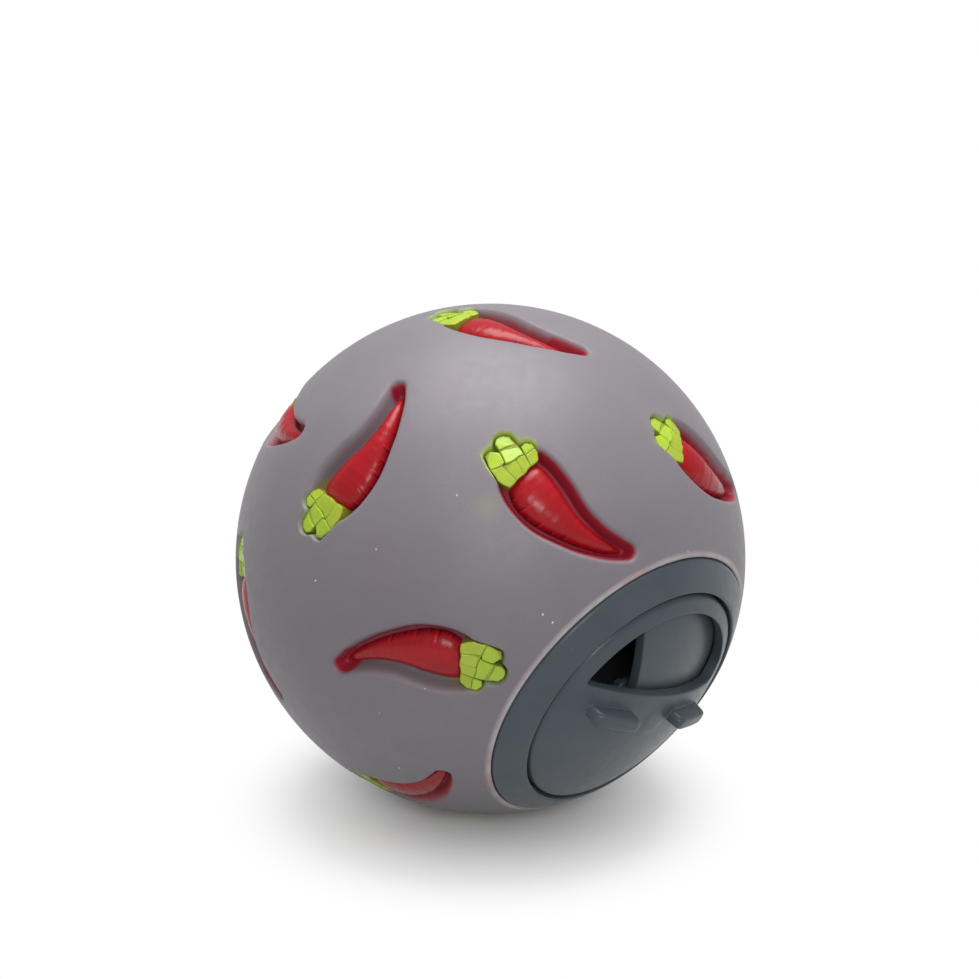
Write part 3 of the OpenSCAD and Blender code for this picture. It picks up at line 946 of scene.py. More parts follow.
def clipped(outline, point, normal):
    """The part of a flat convex outline on the side of a line that its normal points to."""
    out = []
    for a, b in sides(outline):
        from_a, from_b = (a - point) @ normal, (b - point) @ normal
        if from_a >= 0:
            out.append(a)
        if from_a * from_b < 0:
            out.append(a + (b - a) * from_a / (from_a - from_b))
    return out


def drawn_in(outline, gap):
    """A flat convex outline, run anticlockwise, with every side moved inwards."""
    out = outline
    for a, b in sides(outline):
        way = (b - a) / np.hypot(*(b - a))
        normal = np.array([-way[1], way[0]])
        out = clipped(out, a + normal * gap, normal)
    return out


def finer(outline, step):
    """A flat outline with a point at least every step."""
    out = []
    for a, b in sides(outline):
        count = max(1, math.ceil(np.hypot(*(b - a)) / step))
        out += [a + (b - a) * k / count for k in range(count)]
    return np.array(out)


# Leaves: sway of their seams, how far the seams' bed and the scales lie inside their drawn
# outlines, bevel of a scale's edge, and spacing of the points round the bed and a scale
LEAF_SWAY = 0.07 * MM
BED_GAP = 0.01 * MM
LEAF_GAP = 0.055 * MM
LEAF_BEVEL = 0.13 * MM
BED_STEP = 0.5 * MM
SCALE_STEP = 0.25 * MM
# Steepest slope of a scale, and heights of the bed and of the scales as shares of a
# leaf's height
LEAF_SLOPE = 0.15
BED_SHARE = 0.92
SCALE_SHARE = 0.98
# Fixed seeds of the scales' slopes and of the reliefs' tone
SLOPE_SEED = 5
TONE_SEED = 3


def swayed(flat):
    """Flat points shifted a little to and fro, so that the seams between scales run uneven."""
    x, y = flat[:, 0] / MM, flat[:, 1] / MM
    return flat + LEAF_SWAY * np.c_[np.sin(2.9 * y + 0.6 * x), np.sin(2.6 * x + 1.1 * y + 1)]


def make_leaf_form():
    """One top of leaves: flat scales over a lower bed, drawn round +Z."""
    c = settings().carrot
    chance = random.Random(SLOPE_SEED)
    low = seat_radius()
    work = bmesh.new()
    deep = work.verts.layers.float.new("deep")
    worn = work.verts.layers.float.new("worn")

    def block(flat, heights, marks):
        """A closed block over a flat outline. Gives its roof's rim."""
        base = [work.verts.new(wrap([p], low)[0]) for p in flat]
        roof = [work.verts.new(wrap([p], low + h)[0]) for p, h in zip(flat, heights)]
        top = work.verts.new(wrap([flat.mean(axis=0)], low + heights.mean())[0])
        work.faces.new(base[::-1])
        for i in range(len(flat)):
            j = (i + 1) % len(flat)
            work.faces.new([base[i], base[j], roof[j], roof[i]])
            work.faces.new([roof[i], roof[j], top])
        for vert in base + roof + [top]:
            # The deep mark is painted shade: full at the base, 0.7 on the bed's roof seen in the
            # seams, none on a scale's roof
            vert[deep] = 1.0 if vert in base else marks[0]
            # The other mark is 1 on the outer scales, which take the brighter lime
            vert[worn] = marks[1]
        return roof

    edges = []
    spine = Spine()
    for number, drawn in enumerate(FOOT_SCALES + OUTER_SCALES):
        outline = leaf_scale(spine, drawn)
        outer = 0.0 if number < len(FOOT_SCALES) else 1.0
        bed = swayed(finer(drawn_in(outline, BED_GAP), BED_STEP))
        block(bed, np.full(len(bed), c.leaf_height * BED_SHARE), (0.7, outer))
        scale = swayed(finer(drawn_in(outline, LEAF_GAP), SCALE_STEP))
        lean = np.array([chance.uniform(-1, 1), chance.uniform(-1, 1)]) * LEAF_SLOPE
        heights = c.leaf_height * SCALE_SHARE + (scale - scale.mean(axis=0)) @ lean
        rim = block(scale, heights, (0.0, outer))
        edges += [work.edges.get(pair) for pair in sides(rim)]
    bmesh.ops.recalc_face_normals(work, faces=work.faces)
    bmesh.ops.bevel(work, geom=edges, offset=LEAF_BEVEL, segments=2, profile=0.6, affect="EDGES",
                    clamp_overlap=True)
    mesh = bpy.data.meshes.new("leaf_form")
    work.to_mesh(mesh)
    work.free()
    mesh.polygons.foreach_set("use_smooth", [False] * len(mesh.polygons))
    return linked("leaf_form", mesh)


def add_node(tree, kind, inputs=(), **own):
    """Adds a node with settings of its own, and sets or links its inputs."""
    made = tree.nodes.new(kind)
    for key, value in own.items():
        setattr(made, key, value)
    for key, value in dict(inputs).items():
        if isinstance(value, bpy.types.NodeSocket):
            tree.links.new(value, made.inputs[key])
        else:
            made.inputs[key].default_value = value
    return made


def relief_tree(name, material):
    """Node tree that sets one copy of a relief at each place, turned as its point says."""
    tree = bpy.data.node_groups.new(name, "GeometryNodeTree")
    for socket, kind in (("Places", "Geometry"), ("Relief", "Object"), ("Size", "Float"),
                         ("Seed", "Int")):
        tree.interface.new_socket(name=socket, in_out="INPUT", socket_type="NodeSocket" + kind)
    tree.interface.items_tree["Size"].default_value = 1.0
    tree.interface.items_tree["Seed"].default_value = TONE_SEED
    tree.interface.new_socket(name="Reliefs", in_out="OUTPUT", socket_type="NodeSocketGeometry")
    enter = add_node(tree, "NodeGroupInput").outputs
    source = add_node(tree, "GeometryNodeObjectInfo", {"Object": enter["Relief"]})
    turn = add_node(tree, "GeometryNodeInputNamedAttribute", {"Name": "turn"},
                    data_type="QUATERNION")
    copies = add_node(tree, "GeometryNodeInstanceOnPoints", {
        "Points": enter["Places"], "Instance": source.outputs["Geometry"],
        "Rotation": turn.outputs["Attribute"], "Scale": enter["Size"]})
    tone = add_node(tree, "FunctionNodeRandomValue", {"Seed": enter["Seed"]}, data_type="FLOAT")
    store = add_node(tree, "GeometryNodeStoreNamedAttribute", {
        "Geometry": copies.outputs["Instances"], "Name": "tone", "Value": tone.outputs[1]},
        data_type="FLOAT", domain="INSTANCE")
    real = add_node(tree, "GeometryNodeRealizeInstances", {"Geometry": store.outputs["Geometry"]})
    finish = add_node(tree, "GeometryNodeSetMaterial",
                      {"Geometry": real.outputs["Geometry"], "Material": material})
    add_node(tree, "NodeGroupOutput", {"Reliefs": finish.outputs["Geometry"]})
    return tree


def set_reliefs(form, name, material):
    """Copies a relief to all its places and gives the copies as one plain mesh."""
    mesh = bpy.data.meshes.new(name + "_places")
    mesh.from_pydata([(0, 0, 0)] * len(PLACES), [], [])
    turns = [Matrix((plug_frame() @ place_frame(p)).tolist()).to_quaternion() for p in PLACES]
    kept = mesh.attributes.new("turn", "QUATERNION", "POINT")
    kept.data.foreach_set("value", np.array(turns, dtype=np.float32).ravel())
    places = linked(name + "_places", mesh)
    tree = relief_tree(name + "_tree", material)
    modifier = places.modifiers.new("Reliefs", "NODES")
    modifier.node_group = tree
    sockets = {s.name: s.identifier for s in tree.interface.items_tree if s.in_out == "INPUT"}
    for socket, value in (("Relief", form), ("Size", 1.0), ("Seed", TONE_SEED)):
        modifier[sockets[socket]] = value
    bpy.context.view_layer.update()
    graph = bpy.context.evaluated_depsgraph_get()
    result = bpy.data.meshes.new_from_object(places.evaluated_get(graph),
                                             preserve_all_data_layers=True, depsgraph=graph)
    made = linked(name, result)
    for old in (places, form):
        bpy.data.objects.remove(old)
    return made


# The plug

# How far past its rounded edge a plate has its guard ring, how far its lower edges are
# rounded, and how far even points stay off a ring as a share of their spacing
EDGE_GUARD = 0.2 * MM
FOOT_ROUND = 0.2 * MM
PLATE_CLEAR = 0.45


def rotated(loop, a):
    c, s = math.cos(a), math.sin(a)
    return loop @ np.array([[c, s], [-s, c]])


def quarter(radius, steps=5):
    """Inset and drop of a rounded edge, from the flat to the side."""
    a = np.linspace(0, math.pi / 2, steps)
    return [(radius * (1 - math.sin(v)), radius * (1 - math.cos(v))) for v in a]


def raised(weave, loops, heights, radius):
    """A raised form on a dome from its loops, foot to top, each at its height.

    Gives the foot's numbers."""
    rings = [weave.add(dome(radius + high, flat)) for flat, high in zip(loops, heights)]
    weave.bands(rings)
    loose = loose_points([loops[-1]], 0.6 * MM, 0.2 * MM)
    inner = weave.add(dome(radius + heights[-1], loose))
    weave.fill(np.r_[rings[-1], inner], sheet(loops[-1], [], loose))
    return rings[0]


def domed_plate(weave, outlines, edges, top, bottom, forms=(), step=1.0 * MM):
    """A domed plate with rounded edges, holes and raised forms, as one closed surface.

    The first outline is the plate's rim and the others are holes, each with its edge's rounding."""
    upper, lower = [], []
    for loop, edge in zip(outlines, edges):
        normals = loop_normals(loop) * (-1 if loop is outlines[0] else 1)
        guard = loop + normals * (edge + EDGE_GUARD)
        rings = [weave.add(dome(top, guard))]
        for inset, drop in quarter(edge):
            rings.append(weave.add(dome(top, loop + normals * inset, -drop)))
        for inset, rise in quarter(min(edge, FOOT_ROUND), 4)[::-1]:
            foot = loop + normals * inset
            rings.append(weave.add(dome(bottom, foot, rise)))
        weave.bands(rings)
        upper.append((guard, rings[0]))
        lower.append((foot, rings[-1]))
    for loops, heights in forms:
        upper.append((loops[0], raised(weave, loops, heights, top)))
    for pairs, radius in ((upper, top), (lower, bottom)):
        flats, numbers = (list(v) for v in zip(*pairs))
        loose = loose_points(flats, step, step * PLATE_CLEAR)
        numbers.append(weave.add(dome(radius, loose)))
        weave.fill(np.concatenate(numbers), sheet(flats[0], flats[1:], loose))


def hub_end():
    """Height of the hub's lower end over the ball's centre."""
    p = settings().plug
    return p.floor_dome - p.floor_wall - p.hub_drop


def make_insert():
    p = settings().plug
    ring, well, neck, bore, hub = (v / 2 for v in (p.ring, p.well, p.neck, p.bore, p.hub))
    inside = neck - p.neck_wall
    bead, bead_foot = neck + p.bead_step, p.bead_top - p.bead_height
    weave = Weave()
    profile = [(inside, bead_foot), (neck, bead_foot), (bead, p.bead_top - 0.3 * p.bead_height),
               (bead, p.bead_top), (neck, p.bead_top + p.bead_step), (neck, p.ring_foot),
               (ring, p.ring_foot)]
    # The ring's face follows the ball, with even points between its two rounded edges
    first = len(profile)
    face = np.r_[ring, np.linspace(ring - 1.1 * MM, well + 0.6 * MM, 9), well]
    profile += [(r, math.sqrt(ball_radius() ** 2 - r ** 2)) for r in face]
    last = len(profile) - 1
    profile += [(well, p.ring_foot + 1 * MM), (inside, p.ring_foot)]
    soft = 0.15 * MM
    corners = {0: soft, 1: soft, 2: soft * 2, 3: soft * 2, 4: soft, 6: soft, first: p.ring_round,
               last: p.edge_round * 0.7}
    turned(weave, rounded(profile, corners, steps=7), count=240)
    hub_top = p.floor_dome - p.floor_wall / 2
    tube = [(bore, hub_end()), (hub, hub_end()), (hub, hub_top), (bore, hub_top)]
    turned(weave, rounded(tube, {0: soft, 1: soft}), count=64)
    # The floor ends within the walls of the neck and the hub
    window = half_moon(p.window, p.floor_sill, p.corner, p.corner, count=150)
    outlines = [circle(neck - p.neck_wall * 0.6, 120), rotated(window, math.pi / 2),
                circle(bore + 0.1 * MM, 48)]
    domed_plate(weave, outlines, [soft] * 3, p.floor_dome, p.floor_dome - p.floor_wall)
    return weave.object("plug_insert_body", plug_frame())


# Steps up a finger rib: inset all round, height as a share of the rib's, and how far
# each end is drawn in, with both lengths in millimetres
RIB_STEPS = [(-0.16, 0, 0), (-0.06, 0.012, 0), (-0.01, 0.05, 0), (0, 0.12, 0), (0.015, 0.3, 0.03),
             (0.03, 0.55, 0.09), (0.05, 0.8, 0.2), (0.09, 0.9, 0.32), (0.17, 0.96, 0.46),
             (0.28, 0.99, 0.62), (0.4, 1, 0.8)]
# The same for the boss, whose sides stand straight
BOSS_STEPS = [(-0.4, 0), (0, 0.35), (0.4, 0.8), (0.9, 1)]


def rib_form(way):
    """One finger rib's loops, left or right of the axle, and their heights."""
    p = settings().plug
    plain = bar(p.rib_length, p.rib_width, count=96)
    normals = loop_normals(plain)
    middle = np.array([way * (p.rib_gap + p.rib_length) / 2 - p.rib_shift, p.rib_rise])
    loops = []
    for inset, _, end in RIB_STEPS:
        loop = plain - normals * inset * MM
        loop = loop * [1 - end * MM * 2 / p.rib_length, 1]
        loops.append(rotated(loop + middle, -p.window_turn))
    return loops, [high * p.rib_height for _, high, _ in RIB_STEPS]


def boss_form():
    """The loops of the boss over the axle, and their heights."""
    p = settings().plug
    return ([circle(p.boss / 2 - inset * MM, 48) for inset, _ in BOSS_STEPS],
            [high * p.boss_height for _, high in BOSS_STEPS])


def add_axle(weave):
    """The dial's pin, and its two prongs with the snap barb below the hub."""
    p = settings().plug
    pin = p.pin / 2
    barb = hub_end() - (p.dial_dome - p.dial_wall - p.floor_dome)
    root = hub_end() + p.hub_drop / 2
    top = p.dial_dome - p.dial_wall / 2
    rings = turned(weave, [(pin, root), (pin, top)], count=48, closed=False)
    weave.cap(rings[0], root)
    weave.cap(rings[-1], top)
    prong = [(pin, root + 0.2 * MM), (pin, barb), (pin + p.barb_step, barb),
             (pin + p.barb_step, barb - 0.3 * p.barb_height),
             (pin - p.barb_step, barb - p.barb_height)]
    for way in (-1, 1):
        rings = []
        for r, z in prong:
            half = math.acos(p.barb_slot / 2 / r)
            a = np.linspace(-half, half, 25)
            rings.append(weave.add(np.c_[way * r * np.cos(a), r * np.sin(a), np.full(len(a), z)]))
        weave.bands(rings)
        weave.face(rings[0])
        weave.face(rings[-1])


def make_dial():
    p = settings().plug
    weave = Weave()
    window = half_moon(p.window, p.dial_sill, p.blunt_corner, p.sharp_corner, count=280)
    outlines = [circle(p.dial / 2, 240), rotated(window, -p.window_turn)]
    forms = [rib_form(-1), rib_form(1), boss_form()]
    domed_plate(weave, outlines, [p.edge_round, p.window_round], p.dial_dome,
                p.dial_dome - p.dial_wall, forms, 0.9 * MM)
    add_axle(weave)
    return weave.object("dial_disc", plug_frame())


# Materials

# Noise patterns of the finishes: waves a metre, detail and roughness, then the places and
# values of the ramp that the noise goes through, where it has one
SHELL_PATTERNS = {
    "mottle": (90, 4, 0.55, (0.35, 0), (0.65, 1)),
    "grain": (5200, 2, 0.6),
    "skin": (1400, 3, 0.5),
    "polish": (700, 3, 0.5, (0.3, 0.46), (0.7, 0.56)),
    "lip_highlight_tint": (120, 3, 0.6, (0.5, 0), (0.62, 0.6)),
    "lip_highlight_strength": (300, 4, 0.6, (0.3, 0.6), (0.6, 1)),
    "ragged": (1500, 4, 0.6),
    "wander": (260, 2, 0.5),
    "haze": (420, 5, 0.7, (0.42, 0), (0.75, 0.5)),
    "smear": (38, 2, 0.5, (0.69, 0), (0.76, 0.13)),
    "blush": (33, 2, 0.5, (0.27, 0.22), (0.33, 0)),
    "crimson": (900, 3, 0.6),
    "dusty": (60, 2, 0.5, (0.5, 0), (0.6, 1)),
}
SLATE_PATTERNS = {
    "mottle": (160, 4, 0.5, (0.35, 0), (0.65, 1)),
    "grain": (6500, 2, 0.6),
    "skin": (1700, 2, 0.5),
    "polish": (1100, 3, 0.5, (0.3, 0.32), (0.7, 0.42)),
    "scuffs": (900, 6, 0.75, (0.62, 0), (0.72, 1)),
    "dusty": (70, 2, 0.5, (0.5, 0), (0.58, 1)),
}
PAINT_PATTERNS = {
    "grain": (3200, 3, 0.6),
    "skin": (700, 3, 0.6),
    "polish": (1300, 3, 0.5, (0.3, 0.24), (0.7, 0.34)),
    "shade_noise": (2600, 3, 0.6),
    "rubbed_and_highlight": (1500, 6, 0.7, (0.66, 0), (0.74, 1)),
    "dusty": (170, 2, 0.5, (0.62, 0), (0.66, 1)),
}
# Small round specks of dust: cells a metre and radius as a share of a cell
SHELL_DUST = (150, 0.016)
SLATE_DUST = (260, 0.03)
PAINT_DUST = (700, 0.06)
# Pale pink of the paint's rub marks, which also stand in for pinkish highlight smears
RUBBED_AND_HIGHLIGHT_PINK = (0.75, 0.6, 0.6)
# Ramps from a mark with noise added to how far the red and the lime take hold and the
# painted shade darkens the nicks and seams, and from the moulded grain's noise to its tone
RED_STOPS = [(0.45, 0), (0.95, 1)]
LIME_STOPS = [(0.5, 0), (1.0, 0.85)]
SHADE_STOPS = [(0.2, 0), (1.0, 0.9)]
GRAIN_STOPS = [(0.35, 0), (0.65, 1)]


class Finish:
    """A procedural material: a surface shader and short ways to add what feeds it."""

    def __init__(self, name, patterns):
        self.material = bpy.data.materials.new(name)
        self.material.use_nodes = True
        self.tree = self.material.node_tree
        self.shader = self.tree.nodes["Principled BSDF"]
        self.place = self.add("TexCoord").outputs["Object"]
        self.patterns = patterns

    def add(self, kind, inputs=(), **own):
        return add_node(self.tree, "ShaderNode" + kind, inputs, **own)

    def pattern(self, name):
        """A noise of the finish's own table, through its ramp where it has one."""
        scale, detail, roughness, *stops = self.patterns[name]
        noise = self.add("TexNoise", {"Scale": scale, "Detail": detail, "Roughness": roughness,
                                      "Vector": self.place}).outputs["Fac"]
        return self.ramp(noise, stops) if stops else noise

    def specks(self, scale, size):
        """Small round specks, 1 inside and 0 outside."""
        cells = self.add("TexVoronoi", {"Scale": scale, "Vector": self.place})
        return self.ramp(cells.outputs["Distance"], [(0, 1), (size, 1), (size * 1.5, 0)])

    def attribute(self, name):
        return self.add("Attribute", attribute_name=name).outputs["Fac"]

    def maths(self, kind, a, b):
        return self.add("Math", {0: a, 1: b}, operation=kind, use_clamp=True).outputs[0]

    def times(self, a, b):
        return self.maths("MULTIPLY", a, b)

    def vector(self, kind, a, b=(0, 0, 0)):
        made = self.add("VectorMath", {0: a, 1: b}, operation=kind)
        return made.outputs["Vector" if kind == "CROSS_PRODUCT" else "Value"]

    def span(self, value, low, high):
        """0 at the low value and 1 at the high one."""
        inputs = {"Value": value, "From Min": low, "From Max": high}
        return self.add("MapRange", inputs).outputs["Result"]

    def spot(self, place, radius, soft=0.5):
        """1 in a small ball round a place, both in millimetres, fading over its outer share."""
        gap = self.vector("DISTANCE", self.place, tuple(v * MM for v in place))
        return self.span(gap, radius * MM, radius * MM * (1 - soft))

    def ramp(self, value, stops):
        """A value ramp through (place, value) stops."""
        made = self.add("ValToRGB", {"Fac": value})
        elements = made.color_ramp.elements
        while len(elements) < len(stops):
            elements.new(0.5)
        for element, (at, v) in zip(elements, stops):
            element.position = at
            element.color = (v, v, v, 1)
        return made.outputs["Color"]

    def mix(self, share_, a, b, kind="MIX"):
        """Mixes two colours or sockets."""
        a, b = (v if isinstance(v, bpy.types.NodeSocket) else (*v, 1) for v in (a, b))
        made = self.add("Mix", {0: share_, 6: a, 7: b}, data_type="RGBA", blend_type=kind)
        return made.outputs[2]

    def darker(self, base, factor):
        return self.mix(1.0, base, (factor,) * 3, "MULTIPLY")

    def bump(self, height, strength, distance, after=None):
        """Bumps that many millimetres high, on top of others."""
        inputs = {"Height": height, "Strength": strength, "Distance": distance * MM}
        if after is not None:
            inputs["Normal"] = after
        return self.add("Bump", inputs).outputs["Normal"]

    def done(self, base, rough, normal, **own):
        """Feeds the shader and sets its constants on its own sockets. Gives the material."""
        for name, socket in (("Base Color", base), ("Roughness", rough), ("Normal", normal)):
            self.tree.links.new(socket, self.shader.inputs[name])
        for name, value in own.items():
            self.shader.inputs[name.replace("_", " ")].default_value = value
        return self.material


def shade(base, factor):
    return tuple(min(1.0, v * factor) for v in base)


def lip_highlight(m, base):
    """The base colour with a painted highlight along the lip, pale with a pink tint in places."""
    f = settings().finish
    axis = tuple(plug_frame()[:, 2])
    mouth = settings().ball.mouth / 2
    off_axis = m.vector("LENGTH", m.vector("CROSS_PRODUCT", m.place, axis))
    # Where the painted highlight lies: the lip and a thin band just outside it
    lip = m.times(m.span(off_axis, mouth + 0.95 * MM, mouth + 0.45 * MM),
                  m.span(m.vector("DOT_PRODUCT", m.place, axis), 0, 1 * MM))
    # Pale painted highlight with a pink tint in places, its strength broken up by noise
    flush = m.mix(m.pattern("lip_highlight_tint"), f.lip, f.lip_highlight_pink)
    return m.mix(m.times(lip, m.pattern("lip_highlight_strength")), base, flush)


def sprayed(m, base):
    """The base colour with what the red and lime sprays leave in and round the pockets."""
    f = settings().finish
    leafy = m.attribute("leafy")
    bare = m.add("Math", {0: 1.0, 1: leafy}, operation="SUBTRACT").outputs[0]
    haze = m.times(m.attribute("halo"), m.pattern("haze"))
    base = m.mix(m.times(haze, bare), base, shade(f.red, 0.9))
    base = m.mix(m.times(haze, leafy), base, shade(f.lime, 0.8))
    base = m.mix(m.pattern("smear"), base, shade(f.lime, 0.6))
    base = m.mix(m.pattern("blush"), base, shade(f.red, 0.9))
    for place, radius, paint, factor, strength in STAINS:
        stain = m.times(m.spot(place, radius, STAIN_FADE), strength)
        base = m.mix(stain, base, shade(getattr(f, paint), factor))
    edge = m.maths("ADD", m.times(m.pattern("ragged"), 0.22), m.times(m.pattern("wander"), 0.3))
    red_here = m.ramp(m.maths("ADD", m.attribute("red"), edge), RED_STOPS)
    lime_here = m.ramp(m.maths("ADD", m.times(m.attribute("lime"), 0.75), edge), LIME_STOPS)
    base = m.mix(red_here, base, m.mix(m.pattern("crimson"), shade(f.crimson, 0.8), f.crimson))
    # Lime overspray round the leaves, painted lighter than the lime paint itself to lift the narrow
    # gap's shade; away from the leaves, thin mustard spray
    return m.mix(lime_here, base, m.mix(leafy, f.mustard, shade(f.olive, 1.2)))


def shell_rubber():
    """Soft grey rubber with a fine moulded grain, a slight mottle and overspray."""
    f = settings().finish
    m = Finish("shell_rubber", SHELL_PATTERNS)
    grain = m.pattern("grain")
    base = m.mix(m.pattern("mottle"), shade(f.shell, 0.95), shade(f.shell, 1.05))
    hollows = m.mix(0.5, base, shade(f.shell, 0.86))
    base = m.mix(m.ramp(grain, GRAIN_STOPS), base, hollows)
    # The lip gets a painted highlight
    base = sprayed(m, lip_highlight(m, base))
    for fleck in FLECKS:
        base = m.mix(m.spot(fleck, FLECK_RADIUS), base, f.dust)
    dust = m.times(m.specks(*SHELL_DUST), m.pattern("dusty"))
    base = m.mix(m.times(dust, 0.8), base, f.dust)
    normal = m.bump(m.pattern("skin"), 0.10, 0.12, m.bump(grain, 0.12, 0.05))
    return m.done(base, m.pattern("polish"), normal, Specular_IOR_Level=0.42, Sheen_Weight=0.06,
                  Sheen_Roughness=0.5)


def slate_plastic():
    """Dark satin plastic with a fine spark-eroded grain, faint scuffs and a little dust."""
    f = settings().finish
    m = Finish("slate_plastic", SLATE_PATTERNS)
    base = m.mix(m.pattern("mottle"), shade(f.slate, 0.94), shade(f.slate, 1.06))
    base = m.mix(m.times(m.pattern("scuffs"), 0.12), base, shade(f.slate, 2.4))
    dust = m.times(m.specks(*SLATE_DUST), m.pattern("dusty"))
    base = m.mix(m.times(dust, 0.75), base, f.dust)
    normal = m.bump(m.pattern("skin"), 0.06, 0.1, m.bump(m.pattern("grain"), 0.10, 0.04))
    return m.done(base, m.pattern("polish"), normal, Specular_IOR_Level=0.35, Sheen_Weight=0.06,
                  Sheen_Roughness=0.4)


def painted(name, bright, worn, deep, fleck, thin_scale, gloss):
    """Semi-gloss sprayed paint with a second colour by one mark and painted shade by another."""
    m = Finish(name, dict(PAINT_PATTERNS, thin=(thin_scale, 5, 0.62, (0.3, 0), (0.72, 1))))
    # On the roots the second colour is a painted highlight on the nicks' raised edges; on the
    # leaves it is the outer scales' brighter lime
    base = m.mix(m.attribute("worn"), bright, worn)
    base = m.mix(m.pattern("thin"), m.darker(base, 0.84), base)
    base = m.mix(m.times(m.attribute("tone"), 0.2), base, m.darker(base, 0.8))
    # Painted shade in the nicks, the seams and at the roots' feet, made uneven by noise
    shade_depth = m.maths("ADD", m.attribute("deep"), m.times(m.pattern("shade_noise"), 0.2))
    base = m.mix(m.ramp(shade_depth, SHADE_STOPS), base, deep)
    # Pale pink rub marks, which also stand in for pinkish highlight smears
    base = m.mix(m.times(m.pattern("rubbed_and_highlight"), 0.12), base, RUBBED_AND_HIGHLIGHT_PINK)
    flecks = m.times(m.specks(*PAINT_DUST), m.pattern("dusty"))
    base = m.mix(m.times(flecks, 0.7), base, fleck)
    normal = m.bump(m.pattern("skin"), 0.2, 0.25, m.bump(m.pattern("grain"), 0.08, 0.05))
    return m.done(base, m.pattern("polish"), normal, Specular_IOR_Level=gloss)


# Stage

# Softboxes that look at the ball: name, place, diameter and power
LIGHTS = (("top_softbox", (0.10, 0.05, 0.76), 0.65, 7.3),
          ("front_softbox", (-0.43, -0.56, 0.33), 0.24, 1.8))
FLOOR_REACH = 6.0
# Where the floor's shade under the ball starts to fade, as a share of the clear radius
SHADE_SHARE = 0.2
WHITE = (1, 1, 1, 1)


def stage_surface():
    """Pale matt floor under the ball that turns to plain white away from it."""
    s = settings().stage
    material = bpy.data.materials.new("studio_floor")
    material.use_nodes = True
    tree = material.node_tree
    tree.nodes.clear()
    path = add_node(tree, "ShaderNodeLightPath").outputs
    viewed = add_node(tree, "ShaderNodeMath", {0: path["Is Camera Ray"], 1: path["Is Glossy Ray"]},
                      operation="MAXIMUM").outputs[0]
    tint = add_node(tree, "ShaderNodeMix", {0: viewed, 6: (*s.floor_bounce, 1), 7: (*s.floor, 1)},
                    data_type="RGBA")
    matt = add_node(tree, "ShaderNodeBsdfDiffuse", {"Color": tint.outputs[2]})
    glow = add_node(tree, "ShaderNodeEmission", {"Strength": 1.0})
    place = add_node(tree, "ShaderNodeTexCoord").outputs["Object"]
    level = add_node(tree, "ShaderNodeVectorMath", {0: place, 1: (1, 1, 0)}, operation="MULTIPLY")
    reach = add_node(tree, "ShaderNodeVectorMath", {0: level.outputs["Vector"]}, operation="LENGTH")
    far = add_node(tree, "ShaderNodeMapRange", {
        "Value": reach.outputs["Value"], "From Min": s.floor_clear * SHADE_SHARE,
        "From Max": s.floor_clear, "To Min": s.floor_glow}, interpolation_type="SMOOTHSTEP")
    seen = add_node(tree, "ShaderNodeMath", {0: far.outputs["Result"], 1: viewed},
                    operation="MULTIPLY")
    blend = add_node(tree, "ShaderNodeMixShader",
                     {0: seen.outputs[0], 1: matt.outputs[0], 2: glow.outputs[0]})
    add_node(tree, "ShaderNodeOutputMaterial", {"Surface": blend.outputs[0]})
    return material


def make_floor():
    mesh = bpy.data.meshes.new("studio_floor")
    corners = [(x * FLOOR_REACH, y * FLOOR_REACH, -ball_radius())
               for x, y in ((-1, -1), (1, -1), (1, 1), (-1, 1))]
    mesh.from_pydata(corners, [], [(0, 1, 2, 3)])
    mesh.materials.append(stage_surface())
    floor = linked("studio_floor", mesh)


def make_sky():
    """Even light all round, which the camera sees as plain white."""
    world = bpy.data.worlds.new("studio_sky")
    bpy.context.scene.world = world
    world.use_nodes = True
    tree = world.node_tree
    tree.nodes.clear()
    even, plain = (add_node(tree, "ShaderNodeBackground", {"Color": WHITE, "Strength": strength})
                   for strength in (settings().stage.sky, 1.0))
    path = add_node(tree, "ShaderNodeLightPath").outputs
    blend = add_node(tree, "ShaderNodeMixShader",
                     {0: path["Is Camera Ray"], 1: even.outputs[0], 2: plain.outputs[0]})
    add_node(tree, "ShaderNodeOutputWorld", {"Surface": blend.outputs[0]})


def soft_light(name, at, size, power):
    data = bpy.data.lights.new(name, "AREA")
    data.shape = "DISK"
    data.size = size
    data.energy = power
    light = linked(name, data)
    light.location = at
    light.rotation_euler = (-Vector(at)).to_track_quat("-Z", "Y").to_euler()


def make_camera():
    s = settings().stage
    data = bpy.data.cameras.new("photo_camera")
    data.lens = s.lens
    data.sensor_width = s.sensor
    data.clip_start = 0.01
    data.clip_end = 30
    camera = linked("photo_camera", data)
    a, e = s.azimuth, s.elevation
    right = Vector((math.cos(a), math.sin(a), 0))
    back = Vector((math.sin(a) * math.cos(e), -math.cos(a) * math.cos(e), math.sin(e)))
    camera.matrix_world = Matrix((right, back.cross(right), back)).transposed().to_4x4()
    camera.location = (s.camera_x, s.camera_y, s.camera_z)
    bpy.context.scene.camera = camera


def make_stage():
    make_floor()
    make_sky()
    for light in LIGHTS:
        soft_light(*light)
    make_camera()
    bpy.context.scene.view_settings.view_transform = "Standard"


# Operators and panel

def nodes_named(start):
    return sorted(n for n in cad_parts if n.startswith(start))


def put(piece, body, names, material=None):
    """Rides a finished piece on its body, in place of its solids."""
    if material is not None:
        piece.data.materials.append(material)
    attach(piece, body)
    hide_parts(*names)
    if not piece.data.polygons:
        raise RuntimeError(piece.name + " has no faces")


class TREATBALL_OT_shell(bpy.types.Operator):
    """Build the soft shell with its pockets and mouth"""
    bl_idname = "treatball.shell"
    bl_label = "Build soft shell"

    def execute(self, context):
        put(make_shell(), BODY, ["ball_shell"], shell_rubber())
        return {"FINISHED"}


